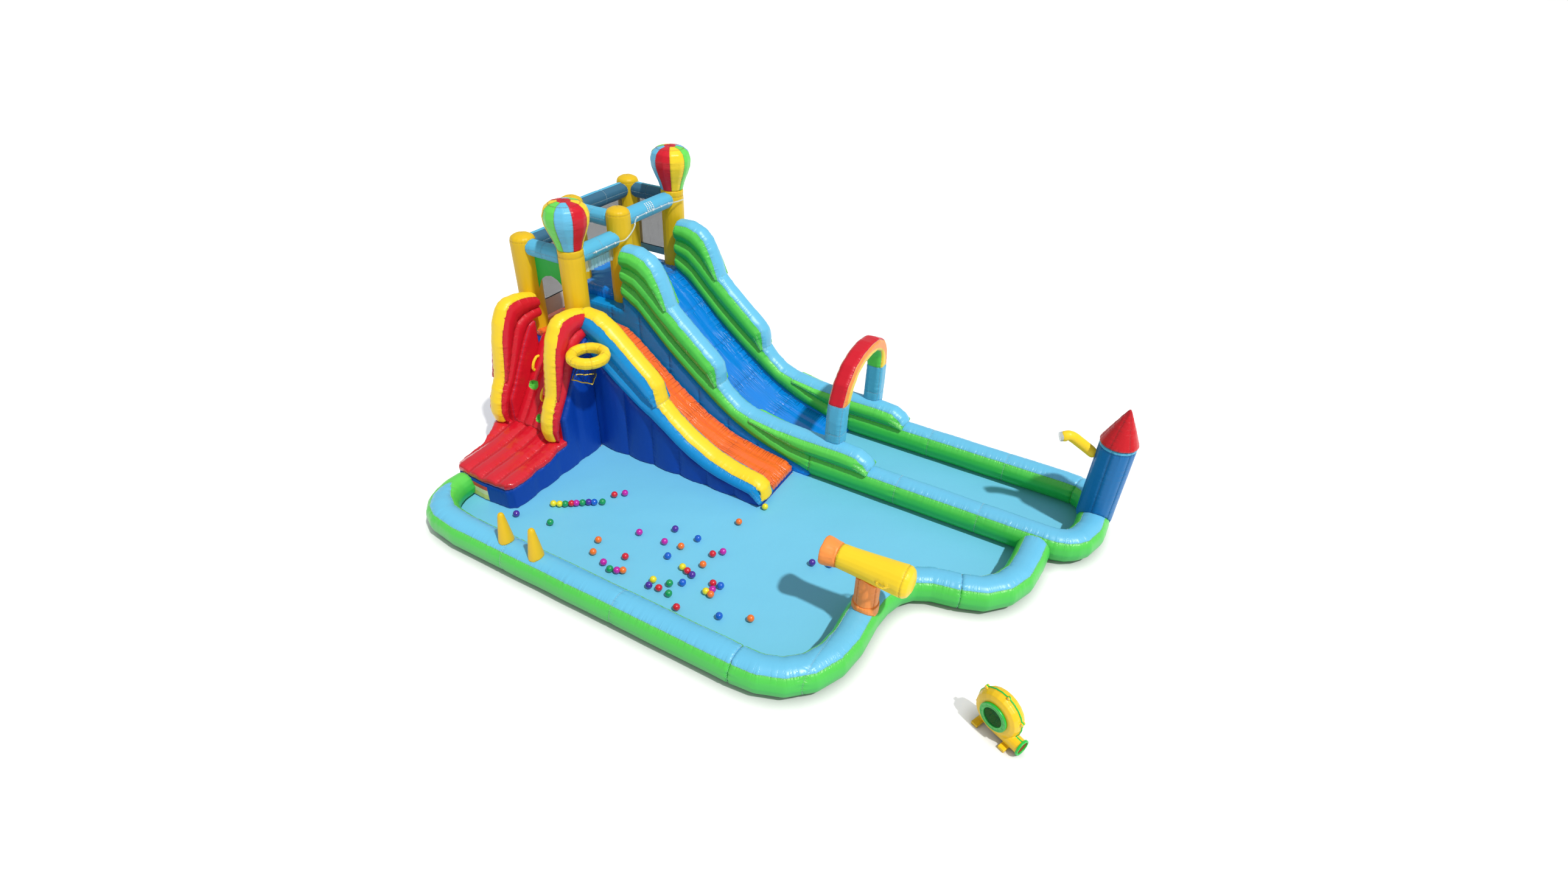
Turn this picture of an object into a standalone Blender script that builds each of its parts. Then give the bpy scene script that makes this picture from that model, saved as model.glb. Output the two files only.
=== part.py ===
"""Inflatable water slide: a two-lane tower with a climbing wall, a splash pool, a water cannon and its blower."""

import math

import bmesh
import bpy
from mathutils import Matrix, Vector

for old in list(bpy.data.objects):
    bpy.data.objects.remove(old, do_unlink=True)

# The panels are cut on one plan grid. Tables of shares count in it, from the corner
# where the climbing wall's side meets the first slide's side: +X down the slides,
# +Y away from the climbing wall, +Z up.
GRID = 0.75
ORIGIN_SETBACK = 1.125

# Clearances
SEAT_GAP = 0.0003
OVERRUN = 0.3
TUCK = 0.02

# Tubes of the pool and the rails
WALL_RADIUS = 0.161
WALL_SEAM_ANGLE = math.radians(47)
RAIL_RADIUS = 0.158
FLOOR_THICKNESS = 0.004

# Heights of the floors that the tower carries
PLATFORM_HEIGHT = 1.245
DECK_HEIGHT = 1.545
DECK_CUSHION = 0.135
SHOULDER_HEIGHT = DECK_HEIGHT - DECK_CUSHION
CUSHION_THICKNESS = 0.09

# Tower posts
POST_RADIUS = 0.136
POST_DOME = 0.07
BEAM_RADIUS = 0.094
LOW_BEAM_HEIGHT = 2.185
HIGH_BEAM_HEIGHT = 2.362
LOW_POST_RISE = 0.135
HIGH_POST_RISE = 0.156
LOW_NECK_RISE = 0.105
HIGH_NECK_RISE = 0.103
LOW_POST_TOP = LOW_BEAM_HEIGHT + LOW_POST_RISE
HIGH_POST_TOP = HIGH_BEAM_HEIGHT + HIGH_POST_RISE
LOW_NECK_TOP = LOW_BEAM_HEIGHT + LOW_NECK_RISE
HIGH_NECK_TOP = HIGH_BEAM_HEIGHT + HIGH_NECK_RISE
BALLOON_RADIUS = 0.244
BALLOON_HEIGHT = 0.5
BALLOON_NECK = 0.135

COLOURS = {
    "light_blue": (0.20, 0.62, 0.78),
    "pool_blue": (0.24, 0.68, 0.85),
    "green": (0.05, 0.55, 0.12),
    "yellow": (0.90, 0.62, 0.02),
    "orange": (0.93, 0.20, 0.03),
    "red": (0.70, 0.01, 0.03),
    "lane_blue": (0.00, 0.27, 0.80),
    "mid_blue": (0.00, 0.22, 0.50),
    "dark_blue": (0.00, 0.08, 0.42),
    "castle_blue": (0.01, 0.16, 0.42),
    "mesh_grey": (0.25, 0.24, 0.26),
    "clear": (0.75, 0.85, 0.88),
    "blower_yellow": (0.95, 0.60, 0.00),
    "blower_green": (0.02, 0.50, 0.08),
    "blower_grey": (0.10, 0.10, 0.11),
}
ROUGHNESS = {"lane_blue": 0.25, "orange": 0.25, "red": 0.25, "clear": 0.1}


def new_collection(name):
    made = bpy.data.collections.new(name)
    bpy.context.scene.collection.children.link(made)
    return made


PARTS = new_collection("inflatable_water_slide")
CUTTERS = new_collection("cutters")


def new_empty(name, place, parent=None):
    made = bpy.data.objects.new(name, None)
    made.location = place
    made.parent = parent
    PARTS.objects.link(made)
    return made


SETOUT = new_empty("setout", (0, -ORIGIN_SETBACK, 0))


def material_for(name, colour):
    found = bpy.data.materials.new(name)
    found.use_nodes = True
    shader = found.node_tree.nodes["Principled BSDF"]
    shader.inputs["Base Color"].default_value = (*COLOURS[colour], 1)
    shader.inputs["Roughness"].default_value = ROUGHNESS.get(colour, 0.5)
    shader.inputs["Metallic"].default_value = 0
    return found


def add_object(name, data, colour=None, parent=None):
    """An object of the slide, or a hidden cutter where no colour is given."""
    made = bpy.data.objects.new(name, data)
    made.parent = parent or SETOUT
    if colour is None:
        made.hide_render = True
        made.display_type = "WIRE"
        CUTTERS.objects.link(made)
        return made
    PARTS.objects.link(made)
    data.materials.append(material_for(name, colour))
    return made


def mesh_from(sheet, name):
    bmesh.ops.recalc_face_normals(sheet, faces=sheet.faces)
    data = bpy.data.meshes.new(name)
    sheet.to_mesh(data)
    sheet.free()
    data.shade_smooth()
    data.set_sharp_from_angle(angle=math.radians(40))
    return data


def cut(target, cutters, operation="DIFFERENCE", tidy=False):
    for cutter in cutters:
        step = target.modifiers.new(cutter.name, "BOOLEAN")
        step.operation = operation
        step.solver = "EXACT"
        step.use_self = tidy
        step.object = cutter
    return target


def grid(*shares):
    return Vector([GRID * share for share in shares])


def grid_pairs(table):
    return [(GRID * first, GRID * second) for first, second in table]


def smooth_through(points, turn_step=math.radians(16)):
    """A Catmull-Rom curve through the points, with more steps where it turns more."""
    points = [Vector(point) for point in points]
    out = [points[0]]
    for i in range(len(points) - 1):
        start, end = points[i], points[i + 1]
        before = points[i - 1] if i else start * 2 - end
        after = points[i + 2] if i + 2 < len(points) else end * 2 - start
        reach = (end - start).length
        lead_in = (end - before).normalized() * reach
        lead_out = (after - start).normalized() * reach
        turn = lead_in.angle(end - start) + lead_out.angle(end - start)
        steps = max(1, round(turn / turn_step))
        for step in range(1, steps + 1):
            t = step / steps
            out.append(
                start * (2 * t**3 - 3 * t**2 + 1)
                + lead_in * (t**3 - 2 * t**2 + t)
                + end * (3 * t**2 - 2 * t**3)
                + lead_out * (t**3 - t**2)
            )
    return out


def evenly(points, count):
    """The same polyline read at count evenly spaced places."""
    runs = [(b - a).length for a, b in zip(points, points[1:])]
    total = sum(runs)
    out = []
    for i in range(count):
        left = total * i / (count - 1)
        for a, b, run in zip(points, points[1:], runs):
            if left <= run or b is points[-1]:
                out.append(a.lerp(b, min(1, left / run)))
                break
            left -= run
    return out


def loft(name, rings, colour=None, parent=None):
    """A closed body through rings of equally many points, with flat ends."""
    sheet = bmesh.new()
    rows = [[sheet.verts.new(point) for point in ring] for ring in rings]
    for first, second in zip(rows, rows[1:]):
        for i in range(len(first)):
            sheet.faces.new((first[i - 1], first[i], second[i], second[i - 1]))
    sheet.faces.new(rows[0])
    sheet.faces.new(rows[-1])
    bmesh.ops.triangulate(sheet, faces=[face for face in sheet.faces if len(face.verts) == 4])
    return add_object(name, mesh_from(sheet, name), colour, parent)


def directions(path):
    """The direction at each point of a path, halved between its two runs."""
    out = []
    for i in range(len(path)):
        back = path[i] - path[i - 1] if i else path[1] - path[0]
        ahead = path[i + 1] - path[i] if i + 1 < len(path) else back
        out.append((back.normalized() + ahead.normalized()).normalized())
    return out


def turned(name, profile, colour=None, sides=20, parent=None, place=(0, 0, 0), turn=(0, 0, 0)):
    """A profile of radius and height pairs, from the top down its outer side, turned about Z."""
    data = bpy.data.meshes.new(name)
    points = [(radius, 0, height) for radius, height in profile]
    data.from_pydata(points, [(i, i + 1) for i in range(len(points) - 1)], [])
    made = add_object(name, data, colour, parent)
    screw = made.modifiers.new("turn", "SCREW")
    screw.steps = screw.render_steps = sides
    screw.use_merge_vertices = True
    screw.merge_threshold = 0.0001
    screw.use_smooth_shade = True
    made.location = place
    made.rotation_euler = turn
    return made


def dome(radius, rise, top, steps=4):
    """Profile points of a domed end, from its middle out to its rim."""
    turns = [math.pi / 2 * step / steps for step in range(steps + 1)]
    return [(radius * math.sin(a), top - rise * (1 - math.cos(a))) for a in turns]


def prism(name, outline, start, stop, axis, colour=None, parent=None):
    """An outline of two-way pairs extruded along X, Y or Z from start to stop."""
    place = {
        "X": lambda a, b, depth: (depth, a, b),
        "Y": lambda a, b, depth: (a, depth, b),
        "Z": lambda a, b, depth: (a, b, depth),
    }[axis]
    rings = [[place(a, b, depth) for a, b in outline] for depth in (start, stop)]
    return loft(name, rings, colour, parent)


def bar(name, path, radius, colour=None, resolution=2, parent=None, loop=False):
    """A round tube along a path, or a ring where it is a loop, as a curve made into a mesh."""
    curve = bpy.data.curves.new(name, "CURVE")
    curve.dimensions = "3D"
    curve.bevel_depth = radius
    curve.bevel_resolution = resolution
    curve.use_fill_caps = True
    spline = curve.splines.new("POLY")
    spline.points.add(len(path) - 1)
    for knot, point in zip(spline.points, path):
        knot.co = (*point, 1)
    spline.use_cyclic_u = loop
    holder = bpy.data.objects.new(name, curve)
    bpy.context.scene.collection.objects.link(holder)
    bpy.context.view_layer.update()
    seen = holder.evaluated_get(bpy.context.evaluated_depsgraph_get())
    data = bpy.data.meshes.new_from_object(seen)
    bpy.data.objects.remove(holder, do_unlink=True)
    sheet = bmesh.new()
    sheet.from_mesh(data)
    bmesh.ops.remove_doubles(sheet, verts=sheet.verts, dist=SEAT_GAP / 10)
    bpy.data.meshes.remove(data)
    return add_object(name, mesh_from(sheet, name), colour, parent)


# Pool walls: one tube section carried along the plan of the pool
WALL_HEIGHT_SHARE = 0.955
POOL_PLAN_SHARES = (
    (-0.86, -1.78),
    (-0.85, -2.08),
    (-0.71, -2.40),
    (-0.44, -2.59),
    (-0.05, -2.64),
    (2.0, -2.64),
    (4.15, -2.64),
    (4.43, -2.62),
    (4.68, -2.53),
    (4.90, -2.33),
    (5.03, -2.06),
    (5.08, -1.75),
    (5.065, -1.30),
    (5.10, -1.00),
    (5.20, -0.70),
    (5.36, -0.50),
    (5.60, -0.37),
    (5.94, -0.30),
    (6.20, -0.20),
    (6.40, 0.0),
    (6.51, 0.27),
    (6.545, 0.60),
    (6.55, 0.96),
)
POOL_SEAM_POINTS = (6, 17)
CHANNEL_FRONT_SHARE = 1.18
CHANNEL_BACK_SHARE = 2.56
CHANNEL_START_SHARE = 3.16
POOL_START_NARROWING = 0.8
NARROW_RINGS = 4
CHANNEL_SEAM_POINTS = (9,)
CHANNEL_PLAN_SHARES = (
    (CHANNEL_START_SHARE, CHANNEL_FRONT_SHARE),
    (5.0, CHANNEL_FRONT_SHARE),
    (6.68, CHANNEL_FRONT_SHARE),
    (6.88, 1.22),
    (7.04, 1.37),
    (7.12, 1.62),
    (7.13, 1.95),
    (7.09, 2.25),
    (6.96, 2.45),
    (6.80, 2.54),
    (6.60, CHANNEL_BACK_SHARE),
    (5.0, CHANNEL_BACK_SHARE),
    (CHANNEL_START_SHARE, CHANNEL_BACK_SHARE),
)


def wall_section(radius, grow=0.0):
    """The tube's section: sideways and upward pairs, flat where it lies on the ground."""
    rise = radius * WALL_HEIGHT_SHARE
    reach = radius + grow
    seam = WALL_SEAM_ANGLE
    turns = [0, seam / 2, seam, (seam + math.pi / 2) / 2, math.pi / 2]
    upper = turns + [math.pi - turn for turn in reversed(turns[:-1])]
    low = [math.radians(angle) for angle in (205, 232, 252)]
    lower = low + [3 * math.pi - turn for turn in reversed(low)]
    points = [(reach * math.cos(turn), rise + reach * math.sin(turn)) for turn in upper + lower]
    return [(side, max(up, -grow)) for side, up in points]


def wall_tube(name, run, colour=None, grow=0.0, gaps=(0.0, 0.0), narrow_start=1.0):
    """One length of wall tube along a run of points and directions."""
    path = [point.copy() for point in run[0]]
    ahead = run[1]
    path[0] += ahead[0] * (gaps[0] - grow)
    path[-1] -= ahead[-1] * (gaps[1] - grow)
    rings = []
    for i, (point, along) in enumerate(zip(path, ahead)):
        side = Vector((along.y, -along.x, 0))
        share = narrow_start + (1 - narrow_start) * min(1, i / NARROW_RINGS)
        section = wall_section(WALL_RADIUS * share, grow)
        rings.append([point + side * across + Vector((0, 0, up)) for across, up in section])
    return loft(name, rings, colour)


def runs_between(table, seams):
    """A smooth plan line split at its numbered points, each part with its directions."""
    corners = [Vector((x, y, 0)) for x, y in grid_pairs(table)]
    whole = smooth_through(corners)
    ahead = directions(whole)
    cuts = [min(range(len(whole)), key=lambda i: (whole[i] - corners[seam]).length) for seam in seams]
    bounds = [0, *cuts, len(whole) - 1]
    return [(whole[a : b + 1], ahead[a : b + 1]) for a, b in zip(bounds, bounds[1:])]


def flat(path):
    return [(point.x, point.y) for point in path]


def build_pool():
    """The three lengths of pool wall, the channel wall in two lengths, and both floors."""
    front, corner, lobe = runs_between(POOL_PLAN_SHARES, POOL_SEAM_POINTS)
    channel_front, channel_back = runs_between(CHANNEL_PLAN_SHARES, CHANNEL_SEAM_POINTS)
    half = SEAT_GAP / 2
    front_wall = wall_tube("pool_wall_front", front, "light_blue", 0, (0, half), POOL_START_NARROWING)
    cut(front_wall, [bpy.data.objects["climb_base_bed"]])
    wall_tube("pool_wall_corner", corner, "light_blue", 0, (half, half))
    lobe_wall = wall_tube("pool_wall_lobe", lobe, "light_blue", 0, (half, 0))
    wall_tube("channel_wall_front", channel_front, "light_blue", 0, (0, half))
    wall_tube("channel_wall_back", channel_back, "light_blue", 0, (half, 0))
    channel_cutter = wall_tube("channel_front_cutter", channel_front, None, SEAT_GAP)
    cut(lobe_wall, [channel_cutter])
    build_pool_floor(front, corner, lobe, channel_cutter)
    build_channel_floor(channel_front, channel_back, channel_cutter)


def build_pool_floor(front, corner, lobe, channel_cutter):
    """A thin sheet welded inside the pool wall, clear of the bases."""
    side_x = -GRID * CLIMB_SIDE_SHARE
    near_y = GRID * FRONT_BASE_SHARES[0] + TUCK
    exit_x = GRID * LANE1_END_SHARE - TUCK
    rear_y = GRID * REAR_BASE_SHARES[0] - SEAT_GAP
    join_y = GRID * CHANNEL_FRONT_SHARE
    start_x = GRID * CHANNEL_START_SHARE
    outline = flat(front[0]) + flat(corner[0])[1:] + flat(lobe[0])[1:]
    outline += [(GRID * POOL_PLAN_SHARES[-1][0], join_y), (start_x, join_y), (start_x, rear_y)]
    outline += [(exit_x, rear_y), (exit_x, near_y), (side_x, near_y), (side_x, outline[0][1])]
    beds = [front_columns("front_base_bed", SEAT_GAP), bpy.data.objects["climb_base_bed"]]
    floor = prism("pool_floor", outline, 0, FLOOR_THICKNESS, "Z", "pool_blue")
    walls = (("front", front, POOL_START_NARROWING), ("corner", corner, 1.0), ("lobe", lobe, 1.0))
    none = (0.0, 0.0)
    grown = []
    for name, run, narrow in walls:
        grown.append(wall_tube(f"pool_{name}_cutter", run, None, SEAT_GAP, none, narrow))
    cut(floor, [*grown, channel_cutter, *beds])


def build_channel_floor(channel_front, channel_back, channel_cutter):
    start_x = GRID * CHANNEL_START_SHARE
    outline = flat(channel_front[0]) + flat(channel_back[0])[1:]
    floor = prism("channel_floor", outline, 0, FLOOR_THICKNESS, "Z", "pool_blue")
    back_cutter = wall_tube("channel_back_cutter", channel_back, None, SEAT_GAP)
    cut(floor, [channel_cutter, back_cutter])


# Bases: the tall blue chambers under both lanes and the tower
BASE_BACK_SHARE = -1.47
FRONT_BASE_SHARES = (0.02, 0.975)
REAR_BASE_SHARES = (1.0, 2.76)
BASE_SIDE_SHARE = 0.035
CLIMB_SIDE_SHARE = 0.035
LANE1_END_SHARE = 2.93
LANE_THICKNESS = 0.06
CHANNEL_BULGE = 0.028
CHANNEL_COUNT = 6
SWELL_STEPS = 4
BED_LIFT = 0.004
HEEL_SHARES = (-0.335, 1.90)
LANE1_SHARES = (
    (-0.42, 1.66),
    (-0.24, 1.66),
    (-0.08, 1.64),
    (0.10, 1.53),
    (0.39, 1.30),
    (0.89, 0.91),
    (1.39, 0.57),
    (1.89, 0.35),
    (2.38, 0.25),
    (2.76, 0.20),
    (2.90, 0.12),
)
LANE2_SHARES = (
    (-0.20, 2.06),
    (-0.08, 2.05),
    (0.12, 1.91),
    (0.33, 1.73),
    (0.75, 1.32),
    (1.17, 0.98),
    (1.60, 0.66),
    (2.0, 0.42),
    (2.40, 0.27),
    (2.80, 0.17),
    (3.05, 0.09),
    (3.14, 0.02),
)


def side_line(table, lift=0.0):
    """A side profile as a smooth line of pairs, lifted or lowered square to the ground."""
    line = smooth_through([(x, 0, z) for x, z in grid_pairs(table)], math.radians(12))
    return [(point.x, point.z + lift) for point in line]


def swollen_edge(start, stop, level, bulge, count):
    """A line of evenly spaced swells between start and stop, as along and out pairs."""
    steps = SWELL_STEPS
    pitch = (stop - start) / (count * steps)
    swells = [bulge * math.sin(math.pi * (i % steps) / steps) ** 0.7 for i in range(count * steps + 1)]
    return [(start + pitch * i, level - swell) for i, swell in enumerate(swells)]


def line_until(line, end_x):
    """The part of a line of pairs before a place along it."""
    kept = [point for point in line if point[0] < end_x]
    if len(kept) == len(line):
        return line
    before, after = Vector(kept[-1]), Vector(line[len(kept)])
    last = before.lerp(after, (end_x - before.x) / (after.x - before.x))
    return [*kept, (last.x, last.y)]


def base_block(name, foot, tower_height, end_x, sides, heel=None):
    """A chamber as high as the foot of its rails, in side view, with a raised heel under a bumper."""
    back = GRID * BASE_BACK_SHARE
    line = line_until(side_line(foot, BED_LIFT - SEAT_GAP), end_x)
    outline = [(back, 0), (back, tower_height)]
    if heel:
        outline += [(heel[0], tower_height), heel, (line[0][0] - TUCK / 2, heel[1])]
    else:
        outline.append((line[0][0], tower_height))
    outline += [*line, (line[-1][0], 0)]
    return prism(name, outline, sides[0], sides[1], "Y", "dark_blue")


def under_foot(name, foot, middle, axis="Y"):
    """All that lies below the foot of a rail, in side view."""
    line = side_line(foot, BED_LIFT)
    if line[0][0] > line[-1][0]:
        line.reverse()
    first, last = line[0], line[-1]
    outline = [(first[0] - OVERRUN, first[1]), *line, (last[0] + OVERRUN, last[1])]
    outline += [(last[0] + OVERRUN, -OVERRUN), (first[0] - OVERRUN, -OVERRUN)]
    return prism(name, outline, middle - OVERRUN, middle + OVERRUN, axis)


def lane_room(name, table, near, far):
    """The space over a lane's underside."""
    under = side_line(table, -LANE_THICKNESS - SEAT_GAP)
    back = GRID * BASE_BACK_SHARE - OVERRUN
    outline = [(back, under[0][1]), *under, (under[-1][0] + OVERRUN, under[-1][1])]
    outline += [(under[-1][0] + OVERRUN, HIGH_POST_TOP), (back, HIGH_POST_TOP)]
    return prism(name, outline, near, far, "Y")


def front_columns(name, grow):
    """The plan of the first slide's chamber, swollen on its pool side."""
    near, far = (GRID * share for share in FRONT_BASE_SHARES)
    edge = swollen_edge(GRID * CLIMB_SIDE_SHARE * 2, GRID * LANE1_END_SHARE, near, CHANNEL_BULGE, CHANNEL_COUNT)
    back = GRID * BASE_BACK_SHARE - OVERRUN
    edge = [(x, y - grow) for x, y in edge]
    front = edge[-1][0] + grow
    plan = [(back, near - grow), *edge[:-1], (front, near - grow), (front, far), (back, far)]
    return prism(name, plan, -OVERRUN, HIGH_POST_TOP, "Z")


def build_front_base(cutters):
    """The chamber under the first slide: upright channels on the pool side."""
    near, far = (GRID * share for share in FRONT_BASE_SHARES)
    end_x = GRID * LANE1_END_SHARE
    sides = (near - CHANNEL_BULGE, far - SEAT_GAP)
    heel = (GRID * HEEL_SHARES[0], GRID * HEEL_SHARES[1] - SEAT_GAP)
    under = PLATFORM_HEIGHT - CUSHION_THICKNESS
    body = base_block("front_base", RAIL1_FOOT_SHARES, under, end_x, sides, heel)
    lane_near = GRID * LANE1_SIDES_SHARES[0] - SEAT_GAP
    room = lane_room("slide1_room", LANE1_SHARES, lane_near, far + OVERRUN)
    cut(body, [front_columns("front_base_columns", 0)], "INTERSECT")
    cut(body, [room, *cutters])


def build_rear_base():
    near, far = (GRID * share for share in REAR_BASE_SHARES)
    end_x = GRID * CHANNEL_START_SHARE - SEAT_GAP
    body = base_block("rear_base", RAIL2_FOOT_SHARES, SHOULDER_HEIGHT, end_x, (near, far))
    lane_near, lane_far = (GRID * share for share in LANE2_SIDES_SHARES)
    room = lane_room("slide2_room", LANE2_SHARES, lane_near - SEAT_GAP, lane_far + SEAT_GAP)
    cut(body, [room])


# Lanes: glossy runs of shallow lengthwise tubes, carried on from the tower floors
LANE1_SIDES_SHARES = (0.375, 0.965)
PLATFORM_PLAN_SHARES = (
    (-1.47, 0.30),
    (-1.31, 0.30),
    (-1.31, 0.1505),
    (-0.41, 0.1505),
    (-0.41, 0.375),
    (-0.345, 0.375),
    (-0.345, 0.965),
    (-1.47, 0.965),
)
DECK_PLAN_SHARES = ((-1.47, 1.36), (-1.31, 1.36), (-1.31, 1.2), (-0.18, 1.2), (-0.18, 2.70), (-1.47, 2.70))
LANE2_SIDES_SHARES = (1.375, 2.365)
LANE_CROWN = 0.012
LANE_TUBES = 3


def lane_section(near, far):
    """Across the lane: shallow crowns on top and a flat underside, as sideways and lift pairs."""
    steps = 3 * LANE_TUBES
    top = []
    for i in range(steps + 1):
        crown = LANE_CROWN * abs(math.sin(math.pi * i * LANE_TUBES / steps))
        top.append((near + (far - near) * i / steps, crown))
    return top + [(far, -LANE_THICKNESS), (near, -LANE_THICKNESS)]


def build_lane(name, table, sides, colour):
    near, far = (GRID * share for share in sides)
    line = side_line(table)
    rings = []
    for x, z in line:
        rings.append([Vector((x, y, max(z + lift, SEAT_GAP))) for y, lift in lane_section(near, far)])
    return loft(name, rings, colour)


def tower_floor(name, outline, under, top):
    """The cushion of a tower floor, rounded along its top edges."""
    sheet = bmesh.new()
    base = [sheet.verts.new((x, y, under)) for x, y in outline]
    made = bmesh.ops.extrude_face_region(sheet, geom=[sheet.faces.new(base)])
    raised = [item for item in made["geom"] if isinstance(item, bmesh.types.BMVert)]
    bmesh.ops.translate(sheet, verts=raised, vec=(0, 0, top - under))
    edges = [edge for edge in sheet.edges if all(v in raised for v in edge.verts)]
    bmesh.ops.bevel(sheet, geom=edges, offset=(top - under) / 3, segments=2, affect="EDGES", profile=0.5)
    return add_object(name, mesh_from(sheet, name))


def build_lanes(posts, rail_rooms, climb_room):
    """Both lanes, each made in one with the tower floor at its head."""
    lane1 = build_lane("slide1_lane", LANE1_SHARES, LANE1_SIDES_SHARES, "orange")
    under = PLATFORM_HEIGHT - CUSHION_THICKNESS + SEAT_GAP
    platform = tower_floor("platform", grid_pairs(PLATFORM_PLAN_SHARES), under, PLATFORM_HEIGHT)
    cut(lane1, [platform], "UNION")
    cut(lane1, [posts["front_back_post"], posts["front_balloon_post"], climb_room, *rail_rooms])
    lane2 = build_lane("slide2_lane", LANE2_SHARES, LANE2_SIDES_SHARES, "lane_blue")
    deck = tower_floor("deck", grid_pairs(DECK_PLAN_SHARES), SHOULDER_HEIGHT + SEAT_GAP, DECK_HEIGHT)
    cut(lane2, [deck], "UNION")
    cut(lane2, [posts[name] for name in POSTS if not name.startswith("front")])


# Rails: stacked green or blue tubes under a cap, stepped in waves
RAIL1_SHARE = 0.155
RAIL1_CREST_SHARES = (
    (-0.16, 2.22),
    (0.11, 2.20),
    (0.33, 2.07),
    (0.76, 1.69),
    (0.99, 1.50),
    (1.09, 1.38),
    (1.12, 1.24),
    (1.15, 1.12),
    (1.36, 0.92),
    (1.67, 0.69),
    (2.04, 0.50),
    (2.41, 0.39),
    (2.75, 0.34),
    (2.88, 0.26),
    (2.925, 0.10),
)
RAIL1_MIDDLE_SHARES = (
    (-0.16, 1.98),
    (0.11, 1.86),
    (0.35, 1.65),
    (0.63, 1.43),
    (0.92, 1.20),
    (1.15, 1.10),
)
RAIL1_FOOT_SHARES = (
    (-0.16, 1.77),
    (0.16, 1.52),
    (0.38, 1.32),
    (0.64, 1.13),
    (0.93, 0.92),
    (1.20, 0.76),
    (1.47, 0.56),
    (1.77, 0.37),
    (2.07, 0.26),
    (2.40, 0.20),
    (2.75, 0.16),
    (2.92, 0.05),
)
STEP1_POINT = 7
RAIL2_FRONT_SHARE = CHANNEL_FRONT_SHARE
RAIL2_BACK_SHARE = CHANNEL_BACK_SHARE
RAIL2_CREST_SHARES = (
    (-0.17, 2.82),
    (0.07, 2.83),
    (0.27, 2.76),
    (0.38, 2.66),
    (0.47, 2.51),
    (0.56, 2.30),
    (0.63, 2.09),
    (0.83, 1.90),
    (1.11, 1.66),
    (1.38, 1.44),
    (1.47, 1.34),
    (1.50, 1.22),
    (1.51, 1.06),
    (1.65, 0.90),
    (1.85, 0.75),
    (2.10, 0.67),
    (2.50, 0.62),
    (3.0, 0.60),
    (3.65, 0.605),
    (3.86, 0.59),
    (4.0, 0.52),
    (4.08, 0.43),
)
UPPER_LINE_SHARES = ((-0.17, 2.57), (0.04, 2.56), (0.27, 2.43), (0.45, 2.23), (0.63, 2.06))
MIDDLE_LINE_SHARES = (
    (-0.17, 2.34),
    (0.02, 2.27),
    (0.17, 2.17),
    (0.33, 2.00),
    (0.50, 1.83),
    (0.70, 1.64),
    (0.97, 1.42),
    (1.22, 1.22),
    (1.50, 1.03),
)
WEDGE_LINE_SHARES = (
    (2.10, 0.62),
    (2.29, 0.56),
    (2.50, 0.48),
    (2.70, 0.41),
    (2.90, 0.365),
    (3.14, 0.36),
    (3.60, 0.36),
    (4.08, 0.36),
)
RAIL2_FOOT_SHARES = (
    (-0.17, 2.10),
    (0.02, 2.0),
    (0.17, 1.87),
    (0.33, 1.72),
    (0.54, 1.50),
    (0.75, 1.31),
    (1.17, 0.97),
    (1.60, 0.65),
    (2.0, 0.41),
    (2.32, 0.29),
    (2.76, 0.17),
    (3.22, 0.05),
)
STEP_POINTS = (6, 12, 15)
WAVE_TUCK = 0.03
PILLOW_STEPS = 4
CAP_STEPS = 4
TUCK_SHARE = 0.5
END_TUCK_SHARE = 0.05
SEAM_INSET = 0.006
SEAM_CREASE = 0.002


def side_curve(table):
    return smooth_through([(x, 0, z) for x, z in grid_pairs(table)])


def split_at(curve, point):
    """Two parts of a curve, which share the place nearest to the point."""
    share = grid(point[0], 0, point[1])
    at = min(range(len(curve)), key=lambda i: (curve[i] - share).length)
    return curve[: at + 1], curve[at:]


def stood(point, off, middle, across_x):
    """A side-view point set off to one side: of a slide, or across X of the climbing wall."""
    if across_x:
        return Vector((middle + off, point.x, point.z))
    return Vector((point.x, middle + off, point.z))


def pillow(name, lower, upper, place, stations, colour=None, grow=0.0):
    """A tube that swells between two seam lines in side view. Its edges reach into the tubes beside it."""
    middle, radius, across_x = place
    seam_half = radius * math.cos(WALL_SEAM_ANGLE)
    low, high = evenly(lower, stations), evenly(upper, stations)
    rings = []
    for index, (start, stop) in enumerate(zip(low, high)):
        up = (stop - start).normalized()
        ahead = Vector((up.z, 0, -up.x))
        end = grow * ((index == stations - 1) - (index == 0))
        tuck = TUCK * (END_TUCK_SHARE if index in (0, stations - 1) else 1)
        halves = [(start - up * (tuck + grow) + ahead * end, seam_half * TUCK_SHARE + grow)]
        for i in range(PILLOW_STEPS + 1):
            share = i / PILLOW_STEPS
            seam = seam_half + SEAM_INSET * (share / 3 if grow else share / 2 - 1)
            half = seam + (radius - seam) * math.sin(math.pi * share) ** 0.8
            halves.append((start.lerp(stop, share) + ahead * end, half + grow))
        halves.append((stop + up * (tuck + grow) + ahead * end, seam_half * TUCK_SHARE + grow))
        outer = [stood(point, -half, middle, across_x) for point, half in halves]
        inner = [stood(point, half, middle, across_x) for point, half in reversed(halves)]
        rings.append(outer + inner)
    return loft(name, rings, colour)


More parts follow.
